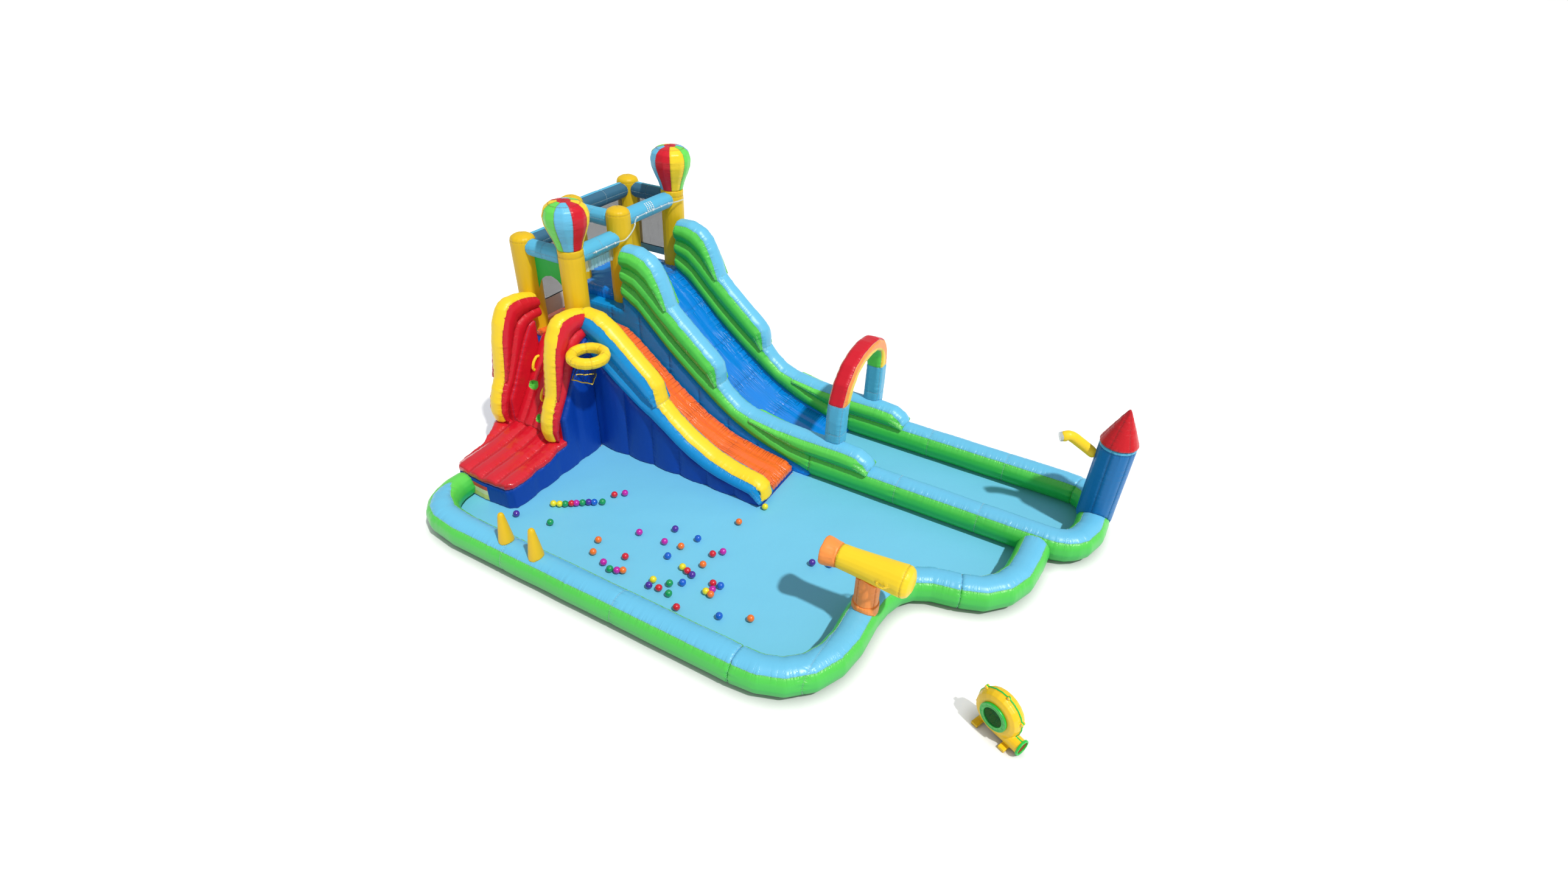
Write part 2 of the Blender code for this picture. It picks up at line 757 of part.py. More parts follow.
def cap_strip(name, crest, place, colour=None, grow=0.0):
    """The bright top of a rail: the part of the tube above its two side seams."""
    middle, radius, across_x = place
    path = [point.copy() for point in crest]
    ahead = directions(path)
    path[0] -= ahead[0] * grow
    path[-1] += ahead[-1] * grow
    low = math.sin(WALL_SEAM_ANGLE)
    rings = []
    for point, along in zip(path, ahead):
        up = Vector((-along.z, 0, along.x))
        if across_x:
            up = -up
        ring = []
        for i in range(CAP_STEPS + 1):
            turn = WALL_SEAM_ANGLE + (math.pi - 2 * WALL_SEAM_ANGLE) * i / CAP_STEPS
            lift = radius * (math.sin(turn) - low) + (grow if 0 < i < CAP_STEPS else -grow)
            side = -(radius + grow) * math.cos(turn)
            if i in (0, CAP_STEPS):
                side += math.copysign(SEAM_CREASE if grow else 0, side)
            ring.append(stood(point + up * lift, side, middle, across_x))
        rings.append(ring)
    return loft(name, rings, colour)


def over_crest(name, crest, place):
    """All that lies above the seam line of a cap, in side view."""
    middle, _, across_x = place
    line = []
    for point, along in zip(crest, directions(crest)):
        down = Vector((along.z, 0, -along.x)) * (-1 if across_x else 1)
        low = point + down * SEAT_GAP * 2
        line.append((low.x, low.z))
    back, front = (line[0][0] - OVERRUN, line[-1][0] + OVERRUN)
    if across_x:
        back, front = (line[0][0] + OVERRUN, line[-1][0] - OVERRUN)
    top = HIGH_POST_TOP
    outline = [(back, line[0][1]), *line, (front, line[-1][1]), (front, top), (back, top)]
    return prism(name, outline, middle - OVERRUN, middle + OVERRUN, "X" if across_x else "Y")


def waves(name, parts, place, colour=None, grow=0.0):
    """A cap in waves: each strip runs on a little into the next."""
    made = []
    for index, part in enumerate(parts):
        ahead = directions(part)
        strip = [part[0] - ahead[0] * WAVE_TUCK * (index > 0), *part[1:-1]]
        strip.append(part[-1] + ahead[-1] * WAVE_TUCK * (index < len(parts) - 1))
        first = index == 0
        strip_name = name if first else f"{name}_wave_{index + 1}"
        made.append(cap_strip(strip_name, strip, place, colour if first else None, grow))
    if colour:
        cut(made[0], made[1:], "UNION")
        return made[0]
    return made


def build_rail2(name, share, cutters):
    """Three waves of stacked tubes beside the long lane, the last one past its end."""
    place = (GRID * share, RAIL_RADIUS, False)
    crest = side_curve(RAIL2_CREST_SHARES)
    top, rest = split_at(crest, RAIL2_CREST_SHARES[STEP_POINTS[0]])
    second, low = split_at(rest, RAIL2_CREST_SHARES[STEP_POINTS[1]])
    third, end = split_at(low, RAIL2_CREST_SHARES[STEP_POINTS[2]])
    wedge = side_curve(WEDGE_LINE_SHARES)
    under_wedge, _ = split_at(wedge, WEDGE_LINE_SHARES[5])
    middle, upper = side_curve(MIDDLE_LINE_SHARES), side_curve(UPPER_LINE_SHARES)
    foot = side_curve(RAIL2_FOOT_SHARES)
    body = pillow(f"{name}_tubes", foot, middle + third[1:] + under_wedge[1:], place, 12, "green")
    joined = [
        pillow(f"{name}_middle", middle, upper + second[1:], place, 9),
        pillow(f"{name}_upper", upper, top, place, 7),
        pillow(f"{name}_wedge", wedge, end, place, 9),
    ]
    cut(body, joined, "UNION", True)
    grown = waves(f"{name}_cap_cutter", (top, second, low), place, None, SEAT_GAP)
    bed = under_foot(f"{name}_bed", RAIL2_FOOT_SHARES, place[0])
    cut(body, [*grown, over_crest(f"{name}_over", crest, place), bed, *cutters])
    cut(waves(f"{name}_cap", (top, second, low), place, "light_blue"), cutters)
    return [pillow(f"{name}_wedge_cutter", wedge, end, place, 9, None, SEAT_GAP), *grown]


def rail1_shapes(prefix, grow=0.0, colours=(None, None)):
    """The first slide's rail as its stacked tubes and its cap."""
    place = (GRID * RAIL1_SHARE, RAIL_RADIUS, False)
    crest = side_curve(RAIL1_CREST_SHARES)
    top, rest = split_at(crest, RAIL1_CREST_SHARES[STEP1_POINT])
    middle, foot = side_curve(RAIL1_MIDDLE_SHARES), side_curve(RAIL1_FOOT_SHARES)
    body = pillow(f"{prefix}_tubes", foot, middle + rest[1:], place, 15, colours[0], grow)
    upper = pillow(f"{prefix}_upper", middle, top, place, 9, None, grow)
    cap = waves(f"{prefix}_cap", (top, rest), place, colours[1], grow)
    return body, upper, cap


def build_rail1(cutters):
    """The rail, and a copy a clearance wider for its neighbours."""
    body_room, upper_room, cap_rooms = rail1_shapes("rail1_cutter", SEAT_GAP * 3)
    body, upper, cap = rail1_shapes("rail1", 0, ("mid_blue", "yellow"))
    cut(body, [upper], "UNION", True)
    bed = under_foot("rail1_bed", RAIL1_FOOT_SHARES, GRID * RAIL1_SHARE)
    over = over_crest("rail1_over", side_curve(RAIL1_CREST_SHARES), (GRID * RAIL1_SHARE, RAIL_RADIUS, False))
    cut(body, [*cap_rooms, over, bed, *cutters])
    cut(cap, cutters)
    return [body_room, upper_room, *cap_rooms]


# Tower posts, beams and balloons
POST_ROW_SHARES = (0.292, 1.357, 2.718)
POST_BACK_SHARE = -1.312
POST_FRONT_SHARE = -0.407
POSTS = {
    "front_back_post": (POST_BACK_SHARE, POST_ROW_SHARES[0], "low"),
    "front_balloon_post": (POST_FRONT_SHARE, POST_ROW_SHARES[0], "low_neck"),
    "middle_back_post": (POST_BACK_SHARE, POST_ROW_SHARES[1], "high"),
    "middle_front_post": (POST_FRONT_SHARE, POST_ROW_SHARES[1], "high"),
    "rear_back_post": (POST_BACK_SHARE, POST_ROW_SHARES[2], "high"),
    "rear_balloon_post": (POST_FRONT_SHARE, POST_ROW_SHARES[2], "high_neck"),
}
POST_TOPS = {"low": LOW_POST_TOP, "high": HIGH_POST_TOP, "low_neck": LOW_NECK_TOP, "high_neck": HIGH_NECK_TOP}


def post_profile(kind, foot, grow=0.0):
    top = POST_TOPS[kind]
    radius = POST_RADIUS + grow
    if kind.endswith("neck"):
        return [(0, top), (radius, top), (radius, foot), (0, foot)]
    return [*dome(radius, POST_DOME, top + grow, 3), (radius, foot), (0, foot)]


def post_feet():
    """Each post stands on the chamber below it."""
    platform_under = PLATFORM_HEIGHT - CUSHION_THICKNESS
    return {
        name: (platform_under if row == POST_ROW_SHARES[0] else SHOULDER_HEIGHT) + SEAT_GAP
        for name, (_, row, _) in POSTS.items()
    }


def build_posts():
    """The posts, and for each one a cutter that is a clearance wider."""
    feet = post_feet()
    cutters = {}
    for name, (x_share, y_share, kind) in POSTS.items():
        place = grid(x_share, y_share, 0)
        turned(name, post_profile(kind, feet[name]), "yellow", 18, None, place)
        grown = post_profile(kind, feet[name] - OVERRUN, SEAT_GAP)
        cutters[name] = turned(f"{name}_cutter", grown, None, 18, None, place)
    return cutters


BALLOON_SHARES = (
    (0.30, 1.0),
    (0.66, 0.965),
    (0.90, 0.87),
    (1.0, 0.72),
    (0.97, 0.56),
    (0.84, 0.38),
    (0.68, 0.20),
    (0.555, 0.0),
)


def build_balloon(name, post, top):
    place = grid(POSTS[post][0], POSTS[post][1], 0) + Vector((0, 0, top + SEAT_GAP))
    profile = [(0, BALLOON_HEIGHT)]
    profile += [(BALLOON_RADIUS * r, BALLOON_HEIGHT * h) for r, h in BALLOON_SHARES] + [(0, 0)]
    turned(name, profile, "red", 14, None, place)


BEAMS = {
    "front_beam": ("front_back_post", "front_balloon_post", LOW_BEAM_HEIGHT),
    "front_side_beam": ("front_balloon_post", "middle_front_post", LOW_BEAM_HEIGHT),
    "front_far_beam": ("front_back_post", "middle_back_post", LOW_BEAM_HEIGHT),
    "middle_beam": ("middle_back_post", "middle_front_post", HIGH_BEAM_HEIGHT),
    "rear_side_beam": ("middle_front_post", "rear_balloon_post", HIGH_BEAM_HEIGHT),
    "rear_far_beam": ("middle_back_post", "rear_back_post", HIGH_BEAM_HEIGHT),
    "rear_beam": ("rear_back_post", "rear_balloon_post", HIGH_BEAM_HEIGHT),
}


def build_beams(cutters):
    for name, (start, stop, height) in BEAMS.items():
        first = grid(*POSTS[start][:2], 0) + Vector((0, 0, height))
        last = grid(*POSTS[stop][:2], 0) + Vector((0, 0, height))
        beam = bar(name, [first, last], BEAM_RADIUS, "light_blue", 4)
        cut(beam, [cutters[start], cutters[stop]])


# Thin panels that hang from the beams
SHEET_THICKNESS = 0.004
NET_CORD = 0.012
NET_HEM = 0.03
NETS = {
    "front_net": ("X", POST_BACK_SHARE, "front", "middle", LOW_BEAM_HEIGHT, 1.27, 1.48),
    "rear_net": ("X", POST_BACK_SHARE, "middle", "rear", HIGH_BEAM_HEIGHT, 1.56, 1.69),
    "side_net": ("Y", POST_ROW_SHARES[2], "rear", "rear", HIGH_BEAM_HEIGHT, 1.59, 1.69),
}
NET_COLUMNS = 4
NET_ROWS = 4
VALANCE_SHARES = ((0.0, 2.28), (0.14, 2.44), (0.3, 2.51), (0.5, 2.54), (0.7, 2.51), (0.86, 2.44), (1.0, 2.28))


def net_span(axis, first, last):
    """The run between two posts, clear of both."""
    if axis == "X":
        rows = dict(zip(("front", "middle", "rear"), POST_ROW_SHARES))
        start, stop = GRID * rows[first], GRID * rows[last]
    else:
        start, stop = GRID * POST_BACK_SHARE, GRID * POST_FRONT_SHARE
    return start + POST_RADIUS + SEAT_GAP, stop - POST_RADIUS - SEAT_GAP


def build_net(name, axis, plane_share, first, last, beam, bottom, hem):
    """A coarse net over a solid panel, in one sheet under its beam."""
    start, stop = net_span(axis, first, last)
    top = beam - BEAM_RADIUS - SEAT_GAP
    plane = GRID * plane_share - SHEET_THICKNESS / 2
    outline = [(start, bottom), (stop, bottom), (stop, top), (start, top)]
    net = prism(name, outline, plane, plane + SHEET_THICKNESS, axis, "mesh_grey")
    pitch = (stop - start - NET_HEM * 2 + NET_CORD) / NET_COLUMNS
    rise = (top - hem - NET_HEM + NET_CORD) / NET_ROWS
    sheet = bmesh.new()
    size = (pitch - NET_CORD, rise - NET_CORD)
    for i in range(NET_COLUMNS * NET_ROWS):
        along = start + NET_HEM + pitch * (i % NET_COLUMNS) + size[0] / 2
        up = hem + rise * (i // NET_COLUMNS) + size[1] / 2
        middle = (plane, along, up) if axis == "X" else (along, plane, up)
        spread = (OVERRUN, size[0], size[1]) if axis == "X" else (size[0], OVERRUN, size[1])
        place = Matrix.Translation(middle) @ Matrix.Diagonal((*spread, 1))
        bmesh.ops.create_cube(sheet, size=1, matrix=place)
    cut(net, [add_object(f"{name}_gaps", mesh_from(sheet, f"{name}_gaps"))])
    shoulder = [(GRID * REAR_BASE_SHARES[0] - SEAT_GAP, -OVERRUN), (GRID * REAR_BASE_SHARES[1], -OVERRUN)]
    shoulder += [(shoulder[1][0], SHOULDER_HEIGHT + SEAT_GAP), (shoulder[0][0], SHOULDER_HEIGHT + SEAT_GAP)]
    if bottom < SHOULDER_HEIGHT:
        cut(net, [prism(f"{name}_foot", shoulder, -GRID * 2, 0, "X")])


def build_valance():
    start, stop = net_span("Y", "front", "front")
    top = LOW_BEAM_HEIGHT - BEAM_RADIUS - SEAT_GAP
    line = smooth_through([(share, 0, GRID * z) for share, z in VALANCE_SHARES])
    outline = [(start + (stop - start) * point.x, point.z) for point in line]
    plane = GRID * POST_ROW_SHARES[0] - SHEET_THICKNESS / 2
    outline += [(stop, top), (start, top)]
    prism("valance", outline, plane, plane + SHEET_THICKNESS, "Y", "green")


# Climbing side: a padded mat, a steep wall with lengthwise tubes, and a bumper on each side
MAT_THICKNESS = 0.06
MAT_BULGE = 0.03
MAT_TUBES = 5
CLIMB_WALL_THICKNESS = 0.045
CLIMB_CROWN = 0.022
CLIMB_TUBES = 4
BUMPER_RADIUS = 0.124
NEAR_BUMPER_SHARE = -0.165
FAR_BUMPER_SHARE = -1.165
BUMPER_CREST_SHARES = (
    (0.16, 2.21),
    (0.02, 2.26),
    (-0.12, 2.29),
    (-0.31, 2.30),
    (-0.46, 2.22),
    (-0.56, 2.04),
    (-0.63, 1.78),
    (-0.67, 1.50),
    (-0.70, 1.30),
    (-0.72, 1.22),
    (-0.80, 1.07),
    (-0.87, 0.88),
    (-0.89, 0.72),
    (-0.85, 0.56),
)
BUMPER_LINE_SHARES = (
    (0.16, 2.06),
    (-0.07, 2.07),
    (-0.28, 2.01),
    (-0.40, 1.84),
    (-0.50, 1.60),
    (-0.60, 1.37),
    (-0.67, 1.24),
    (-0.71, 1.18),
)
BUMPER_FOOT_SHARES = (
    (0.16, 1.905),
    (0.0, 1.905),
    (-0.12, 1.87),
    (-0.28, 1.64),
    (-0.45, 1.34),
    (-0.60, 1.06),
    (-0.76, 0.82),
    (-0.80, 0.68),
    (-0.80, 0.56),
)
WALL_LINE_SHARES = (
    (0.148, 1.66),
    (0.10, 1.655),
    (0.04, 1.605),
    (-0.03, 1.51),
    (-0.14, 1.34),
    (-0.38, 0.99),
    (-0.60, 0.68),
    (-0.78, 0.45),
)
MAT_LINE_SHARES = (
    (-0.72, 0.53),
    (-0.90, 0.50),
    (-1.10, 0.46),
    (-1.37, 0.44),
    (-1.68, 0.43),
    (-1.80, 0.42),
    (-1.86, 0.39),
)
CLIMB_PLAN_SHARES = (
    (0.0, -1.80),
    (-0.08, -1.86),
    (-0.5, -1.89),
    (-0.97, -1.86),
    (-1.05, -1.78),
    (-1.08, -1.30),
    (-1.20, -1.00),
    (-1.31, -0.85),
    (-1.31, 0.0),
)
CLIMB_LANE_SHARES = (-1.0, -0.335)
FOOT_HOLE_WIDTH = 0.135
FOOT_HOLE_HEIGHT = 0.10
FOOT_HOLE_DEPTH = 0.05
FOOT_HOLE_SHARES = ((-0.86, 1.02), (-0.55, 0.66))
HANDLE_RADIUS = 0.011
HANDLE_STAND_OFF = 0.05
HANDLE_SEW_IN = 0.025
HANDLE_STEPS = 6
HANDLE_SHARES = (("upper_handle", -0.91, 1.40, 1.18), ("lower_handle", -0.60, 1.08, 0.86))
CLIMB_MIDDLE_SHARES = (-0.5, -0.9)
CLIMB_BULGE = 0.022
CLIMB_CHANNELS = 4


def across_lane(points, sides, tubes, crown, depth, grow=0.0):
    """Rings across a padded strip: crowned tubes on its face, flat behind."""
    near, far = sides
    ahead = directions(points)
    steps = 3 * tubes
    rings = []
    for point, along in zip(points, ahead):
        out = Vector((0, along.z, -along.y))
        ring = []
        for i in range(steps + 1):
            lift = crown * abs(math.sin(math.pi * i * tubes / steps)) + grow
            ring.append(point + Vector((near + (far - near) * i / steps, 0, 0)) + out * lift)
        ring.append(point + Vector((far, 0, 0)) - out * depth)
        ring.append(point + Vector((near, 0, 0)) - out * depth)
        rings.append(ring)
    return rings


def climb_line(table):
    return smooth_through([(0, y, z) for y, z in grid_pairs(table)], math.radians(14))


def climb_outline():
    """The undersides of the climbing wall and the mat, in side view."""
    wall = climb_line(WALL_LINE_SHARES)
    ahead = directions(wall)
    depth = CLIMB_WALL_THICKNESS + SEAT_GAP
    under_wall = [(p.y - a.z * depth, p.z + a.y * depth) for p, a in zip(wall, ahead)]
    mat = [(p.y, p.z - MAT_THICKNESS - SEAT_GAP) for p in climb_line(MAT_LINE_SHARES)]
    return under_wall, mat


def climb_plan(name, grow=0.0):
    """The chamber from above, swollen on its pool side."""
    deep = GRID * CLIMB_PLAN_SHARES[0][1]
    edge = swollen_edge(-SEAT_GAP, deep, 0, CLIMB_BULGE, CLIMB_CHANNELS)
    plan = [(grow - level, along) for along, level in edge]
    middle = Vector(grid(*CLIMB_MIDDLE_SHARES, 0))
    for x, y in grid_pairs(CLIMB_PLAN_SHARES[1:]):
        out = (Vector((x, y, 0)) - middle).normalized() * grow
        plan.append((x + out.x, min(y + out.y, -SEAT_GAP)))
    return prism(name, plan, -OVERRUN, HIGH_POST_TOP, "Z")


def climb_room():
    """The space over the climbing wall's back, between the bumpers."""
    under_wall, _ = climb_outline()
    lip = GRID * WALL_LINE_SHARES[0][0] + SEAT_GAP
    low = under_wall[-1]
    over_wall = [(lip, HIGH_POST_TOP), (lip, under_wall[0][1]), *under_wall[1:]]
    over_wall += [(low[0] - OVERRUN * 2, low[1]), (low[0] - OVERRUN * 2, HIGH_POST_TOP)]
    lane = [GRID * share for share in CLIMB_LANE_SHARES]
    return prism("climb_room", over_wall, lane[0] - SEAT_GAP, lane[1] + SEAT_GAP, "X")


def mat_room():
    """All that lies below the crowns of the mat."""
    line = climb_line(MAT_LINE_SHARES)
    rise = MAT_BULGE / 2 + SEAT_GAP
    back = line[0].y + SEAT_GAP
    outline = [(back, -OVERRUN), (back, line[0].z + rise), *[(p.y, p.z + rise) for p in line[1:]]]
    outline += [(line[-1].y - OVERRUN, line[-1].z), (line[-1].y - OVERRUN, -OVERRUN)]
    return prism("mat_room", outline, -GRID * 2, GRID, "X")


def build_climb_base(rooms):
    _, mat = climb_outline()
    step = mat[0][0] + SEAT_GAP
    line = side_line(BUMPER_FOOT_SHARES, BED_LIFT - SEAT_GAP)
    foot = line_until([(-y, z) for y, z in line], -step)
    foot = [(-y, z) for y, z in foot if y > SEAT_GAP]
    foot = [(-SEAT_GAP, foot[0][1]), *foot]
    front = GRID * CLIMB_PLAN_SHARES[2][1] - TUCK
    outline = [(-SEAT_GAP, 0), *foot, (step, mat[0][1]), *mat[1:]]
    outline += [(front, mat[-1][1]), (front, 0)]
    width = (GRID * CLIMB_PLAN_SHARES[-1][0] - TUCK, CLIMB_BULGE + TUCK)
    body = prism("climb_base", outline, width[0], width[1], "X", "dark_blue")
    plan = climb_plan("climb_base_plan")
    cut(body, [plan], "INTERSECT")
    cut(body, rooms)
    return plan


def build_climb_mat(plan):
    """The padded mat at the foot of the climbing wall, swollen between its seams."""
    line = climb_line(MAT_LINE_SHARES)
    line[-1] -= Vector((0, TUCK * 2, 0))
    sides = [GRID * share for share in (CLIMB_PLAN_SHARES[-1][0], 0)]
    sides[1] += CLIMB_BULGE
    rings = []
    steps = 3 * MAT_TUBES
    for point in line:
        ring = []
        for i in range(steps + 1):
            lift = MAT_BULGE * abs(math.sin(math.pi * i * MAT_TUBES / steps)) ** 0.8 - MAT_BULGE / 2
            ring.append(point + Vector((sides[0] + (sides[1] - sides[0]) * i / steps, 0, lift)))
        ring.append(point + Vector((sides[1], 0, -MAT_THICKNESS)))
        ring.append(point + Vector((sides[0], 0, -MAT_THICKNESS)))
        rings.append(ring)
    mat = loft("climb_mat", rings, "red")
    return cut(mat, [plan], "INTERSECT")


def foot_hole(name, line, x, z):
    """A pocket pressed square into the climbing wall."""
    spot, along = nearest_on(line, z)
    out = Vector((0, along.z, -along.y))
    if out.y > 0:
        out = -out
    matrix = Matrix((Vector((1, 0, 0)), along, out)).transposed().to_4x4()
    matrix.translation = spot + Vector((x, 0, 0)) - out * FOOT_HOLE_DEPTH
    size = Matrix.Diagonal((FOOT_HOLE_WIDTH, FOOT_HOLE_HEIGHT, OVERRUN, 1))
    raised = Matrix.Translation((0, 0, OVERRUN / 2))
    sheet = bmesh.new()
    place = matrix @ raised @ size
    bmesh.ops.create_cone(sheet, cap_ends=True, segments=12, radius1=0.5, radius2=0.5, depth=1, matrix=place)
    return add_object(name, mesh_from(sheet, name))


def build_climb_wall(cutters):
    line = climb_line(WALL_LINE_SHARES)
    sides = [GRID * share for share in CLIMB_LANE_SHARES]
    rings = across_lane(line, sides, CLIMB_TUBES, CLIMB_CROWN, CLIMB_WALL_THICKNESS)
    wall = loft("climb_wall", rings, "red")
    rings = across_lane(line, sides, CLIMB_TUBES, CLIMB_CROWN, CLIMB_WALL_THICKNESS, SEAT_GAP)
    loft("climb_wall_cutter", rings)
    places = enumerate(grid_pairs(FOOT_HOLE_SHARES))
    holes = [foot_hole(f"foot_hole_{index + 1}", line, x, z) for index, (x, z) in places]
    return cut(wall, [*holes, *cutters])


def nearest_on(line, height):
    """The place and direction on a line at a height."""
    at = min(range(len(line) - 1), key=lambda i: abs((line[i].z + line[i + 1].z) / 2 - height))
    along = (line[at + 1] - line[at]).normalized()
    share = (height - line[at].z) / (line[at + 1].z - line[at].z)
    return line[at].lerp(line[at + 1], share), along


def build_handles():
    """Webbing loops whose ends are sewn to the climbing wall."""
    line = climb_line(WALL_LINE_SHARES)
    wall = bpy.data.objects["climb_wall_cutter"]
    for name, x_share, high_share, low_share in HANDLE_SHARES:
        start, _ = nearest_on(line, GRID * high_share)
        stop, along = nearest_on(line, GRID * low_share)
        out = Vector((0, along.z, -along.y))
        steps = HANDLE_STEPS
        path = []
        for i in range(steps + 1):
            rise = HANDLE_STAND_OFF * math.sin(math.pi * i / steps) ** 0.6 if 0 < i < steps else 0
            lift = CLIMB_CROWN + rise - (HANDLE_SEW_IN if i in (0, steps) else 0)
            path.append(start.lerp(stop, i / steps) + out * lift + Vector((GRID * x_share, 0, 0)))
        cut(bar(name, path, HANDLE_RADIUS, "yellow", 2), [wall])


def build_bumper(name, x_share, cutters):
    place = (GRID * x_share, BUMPER_RADIUS, True)
    crest, line = side_curve(BUMPER_CREST_SHARES), side_curve(BUMPER_LINE_SHARES)
    foot = side_curve(BUMPER_FOOT_SHARES)
    top, rest = split_at(crest, BUMPER_CREST_SHARES[9])
    body = pillow(f"{name}_tubes", foot, line + rest[1:], place, 12, "red")
    cut(body, [pillow(f"{name}_upper", line, top, place, 10)], "UNION")
    bed = under_foot(f"{name}_bed", BUMPER_FOOT_SHARES, place[0], "X")
    grown = waves(f"{name}_cap_cutter", (top, rest), place, None, SEAT_GAP)
    cut(body, [*grown, over_crest(f"{name}_over", crest, place), bed, *cutters])
    cut(waves(f"{name}_cap", (top, rest), place, "yellow"), cutters)
    lower_room = pillow(f"{name}_lower_cutter", foot, line + rest[1:], place, 12, None, SEAT_GAP)
    return [lower_room, pillow(f"{name}_upper_cutter", line, top, place, 10, None, SEAT_GAP)]


# Pieces that stand on the walls
CONE_FOOT_RADIUS = 0.083
CONE_TIP_RADIUS = 0.03
CONE_TOP = 0.645
CONE_SHARES = ((0.74, -2.63), (1.26, -2.65))
TOWER_RADIUS = 0.18
TOWER_RIM = 1.10
TOWER_FOOT = 0.17
ROOF_RADIUS = 0.186
ROOF_TOP = 1.49
TOWER_SHARES = (7.115, 2.06)
ARM_RADIUS = 0.045
ARM_SHARES = ((6.88, 2.05, 1.20), (6.72, 2.02, 1.30), (6.58, 1.97, 1.40), (6.50, 1.92, 1.44), (6.42, 1.88, 1.42))
ARCH_WIDTH = 0.21
ARCH_X_SHARE = 3.44
ARCH_SHARES = (
    (1.26, 0.42, 0.14),
    (1.255, 1.02, 0.14),
    (1.28, 1.26, 0.138),
    (1.38, 1.50, 0.125),
    (1.56, 1.69, 0.115),
    (1.80, 1.78, 0.105),
    (2.06, 1.805, 0.105),
    (2.30, 1.78, 0.105),
    (2.50, 1.68, 0.11),
    (2.61, 1.50, 0.125),
    (2.65, 1.25, 0.138),
    (2.66, 0.98, 0.14),
    (2.655, 0.42, 0.14),
)
CORNER_SHARE = 0.55
ARCH_SIDES = 12


def build_cones(wall_cutter):
    for index, share in enumerate(CONE_SHARES):
        foot = WALL_RADIUS * WALL_HEIGHT_SHARE + WALL_RADIUS / 2
        profile = dome(CONE_TIP_RADIUS, CONE_TIP_RADIUS, CONE_TOP, 3)
        profile += [(CONE_FOOT_RADIUS, foot + TUCK), (CONE_FOOT_RADIUS, foot), (0, foot)]
        cone = turned(f"wall_cone_{index + 1}", profile, "yellow", 14, None, grid(*share, 0))
        cut(cone, [wall_cutter])


def build_castle(wall_cutters):
    place = grid(*TOWER_SHARES, 0)
    profile = [(0, TOWER_RIM), (TOWER_RADIUS, TOWER_RIM), (TOWER_RADIUS, TOWER_FOOT), (0, TOWER_FOOT)]
    tower = turned("castle_tower", profile, "castle_blue", 20, None, place)
    cut(tower, wall_cutters)
    rim = TOWER_RIM + SEAT_GAP
    cone = [(0, ROOF_TOP), (ROOF_RADIUS / 16, ROOF_TOP - SEAT_GAP * 10)]
    cone += [(ROOF_RADIUS, rim + TUCK), (ROOF_RADIUS, rim), (0, rim)]
    turned("castle_roof", cone, "red", 20, None, place)
    wide = TOWER_RADIUS + SEAT_GAP
    grown = [(0, TOWER_RIM), (wide, TOWER_RIM), (wide, TOWER_FOOT), (0, TOWER_FOOT)]
    room = turned("castle_tower_cutter", grown, None, 20, None, place)
    arm = bar("spray_arm", smooth_through([grid(*share) for share in ARM_SHARES]), ARM_RADIUS, "yellow", 3)
    cut(arm, [room])


def build_arch(cutters):
    """A bow of square section: rings along its line, thicker in the legs."""
    line = grid_pairs([row[:2] for row in ARCH_SHARES])
    points = smooth_through([(0, y, z) for y, z in line], math.radians(18))
    ahead = directions(points)
    knots = [grid(0, y, z) for y, z, _ in ARCH_SHARES]
    rings = []
    for point, along in zip(points, ahead):
        near = sorted(range(len(knots)), key=lambda i: (knots[i] - point).length)[:2]
        reach = [(knots[i] - point).length for i in near]
        share = reach[0] / (reach[0] + reach[1])
        half = GRID * (ARCH_SHARES[near[0]][2] * (1 - share) + ARCH_SHARES[near[1]][2] * share)
        out = Vector((0, along.z, -along.y))
        ring = []
        for i in range(ARCH_SIDES):
            turn = 2 * math.pi * (i + 0.5) / ARCH_SIDES
            c, s = math.cos(turn), math.sin(turn)
            c, s = math.copysign(abs(c) ** CORNER_SHARE, c), math.copysign(abs(s) ** CORNER_SHARE, s)
            ring.append(point + Vector((GRID * ARCH_X_SHARE + ARCH_WIDTH / 2 * c, 0, 0)) + out * (half * s))
        rings.append(ring)
    cut(loft("spray_arch", rings, "light_blue"), cutters)


# Water cannon: a post that turns on its foot ring, and a barrel that tips on the post
CANNON_SHARES = (5.08, -1.29)
CANNON_POST_RADIUS = 0.112
CANNON_FOOT_RADIUS = 0.122
CANNON_FOOT_TOP = 0.365
CANNON_AXIS_HEIGHT = 0.755
CANNON_TILT = math.radians(8)
BARREL_RADIUS = 0.146
BARREL_LENGTH = 0.68
MUZZLE_LENGTH = 0.15
MUZZLE_RADIUS = 0.1335
BARREL_SHARES = (
    (0.0, 0.58),
    (0.5, 0.572),
    (0.84, 0.54),
    (0.98, 0.49),
    (1.0, 0.44),
    (0.94, 0.25),
    (0.86, 0.0),
    (0.79, -0.25),
    (0.77, -0.42),
    (0.0, -0.42),
)
MUZZLE_SHARES = (
    (0.0, 0.0),
    (0.85, 0.0),
    (0.89, -0.3),
    (1.0, -0.78),
    (1.0, -0.95),
    (0.94, -1.0),
    (0.82, -0.98),
    (0.76, -0.80),
    (0.72, -0.25),
    (0.0, -0.25),
)
GRIP_RADIUS = 0.011
GRIP_STAND_OFF = 0.06
GRIP_SHARES = (0.14, 0.34)
GRIP_SEAT_SHARE = 0.9


def barrel_profile(grow=0.0):
    points = [(BARREL_RADIUS * r, BARREL_LENGTH * z) for r, z in BARREL_SHARES]
    return [(r + grow if r else r, z) for r, z in points]


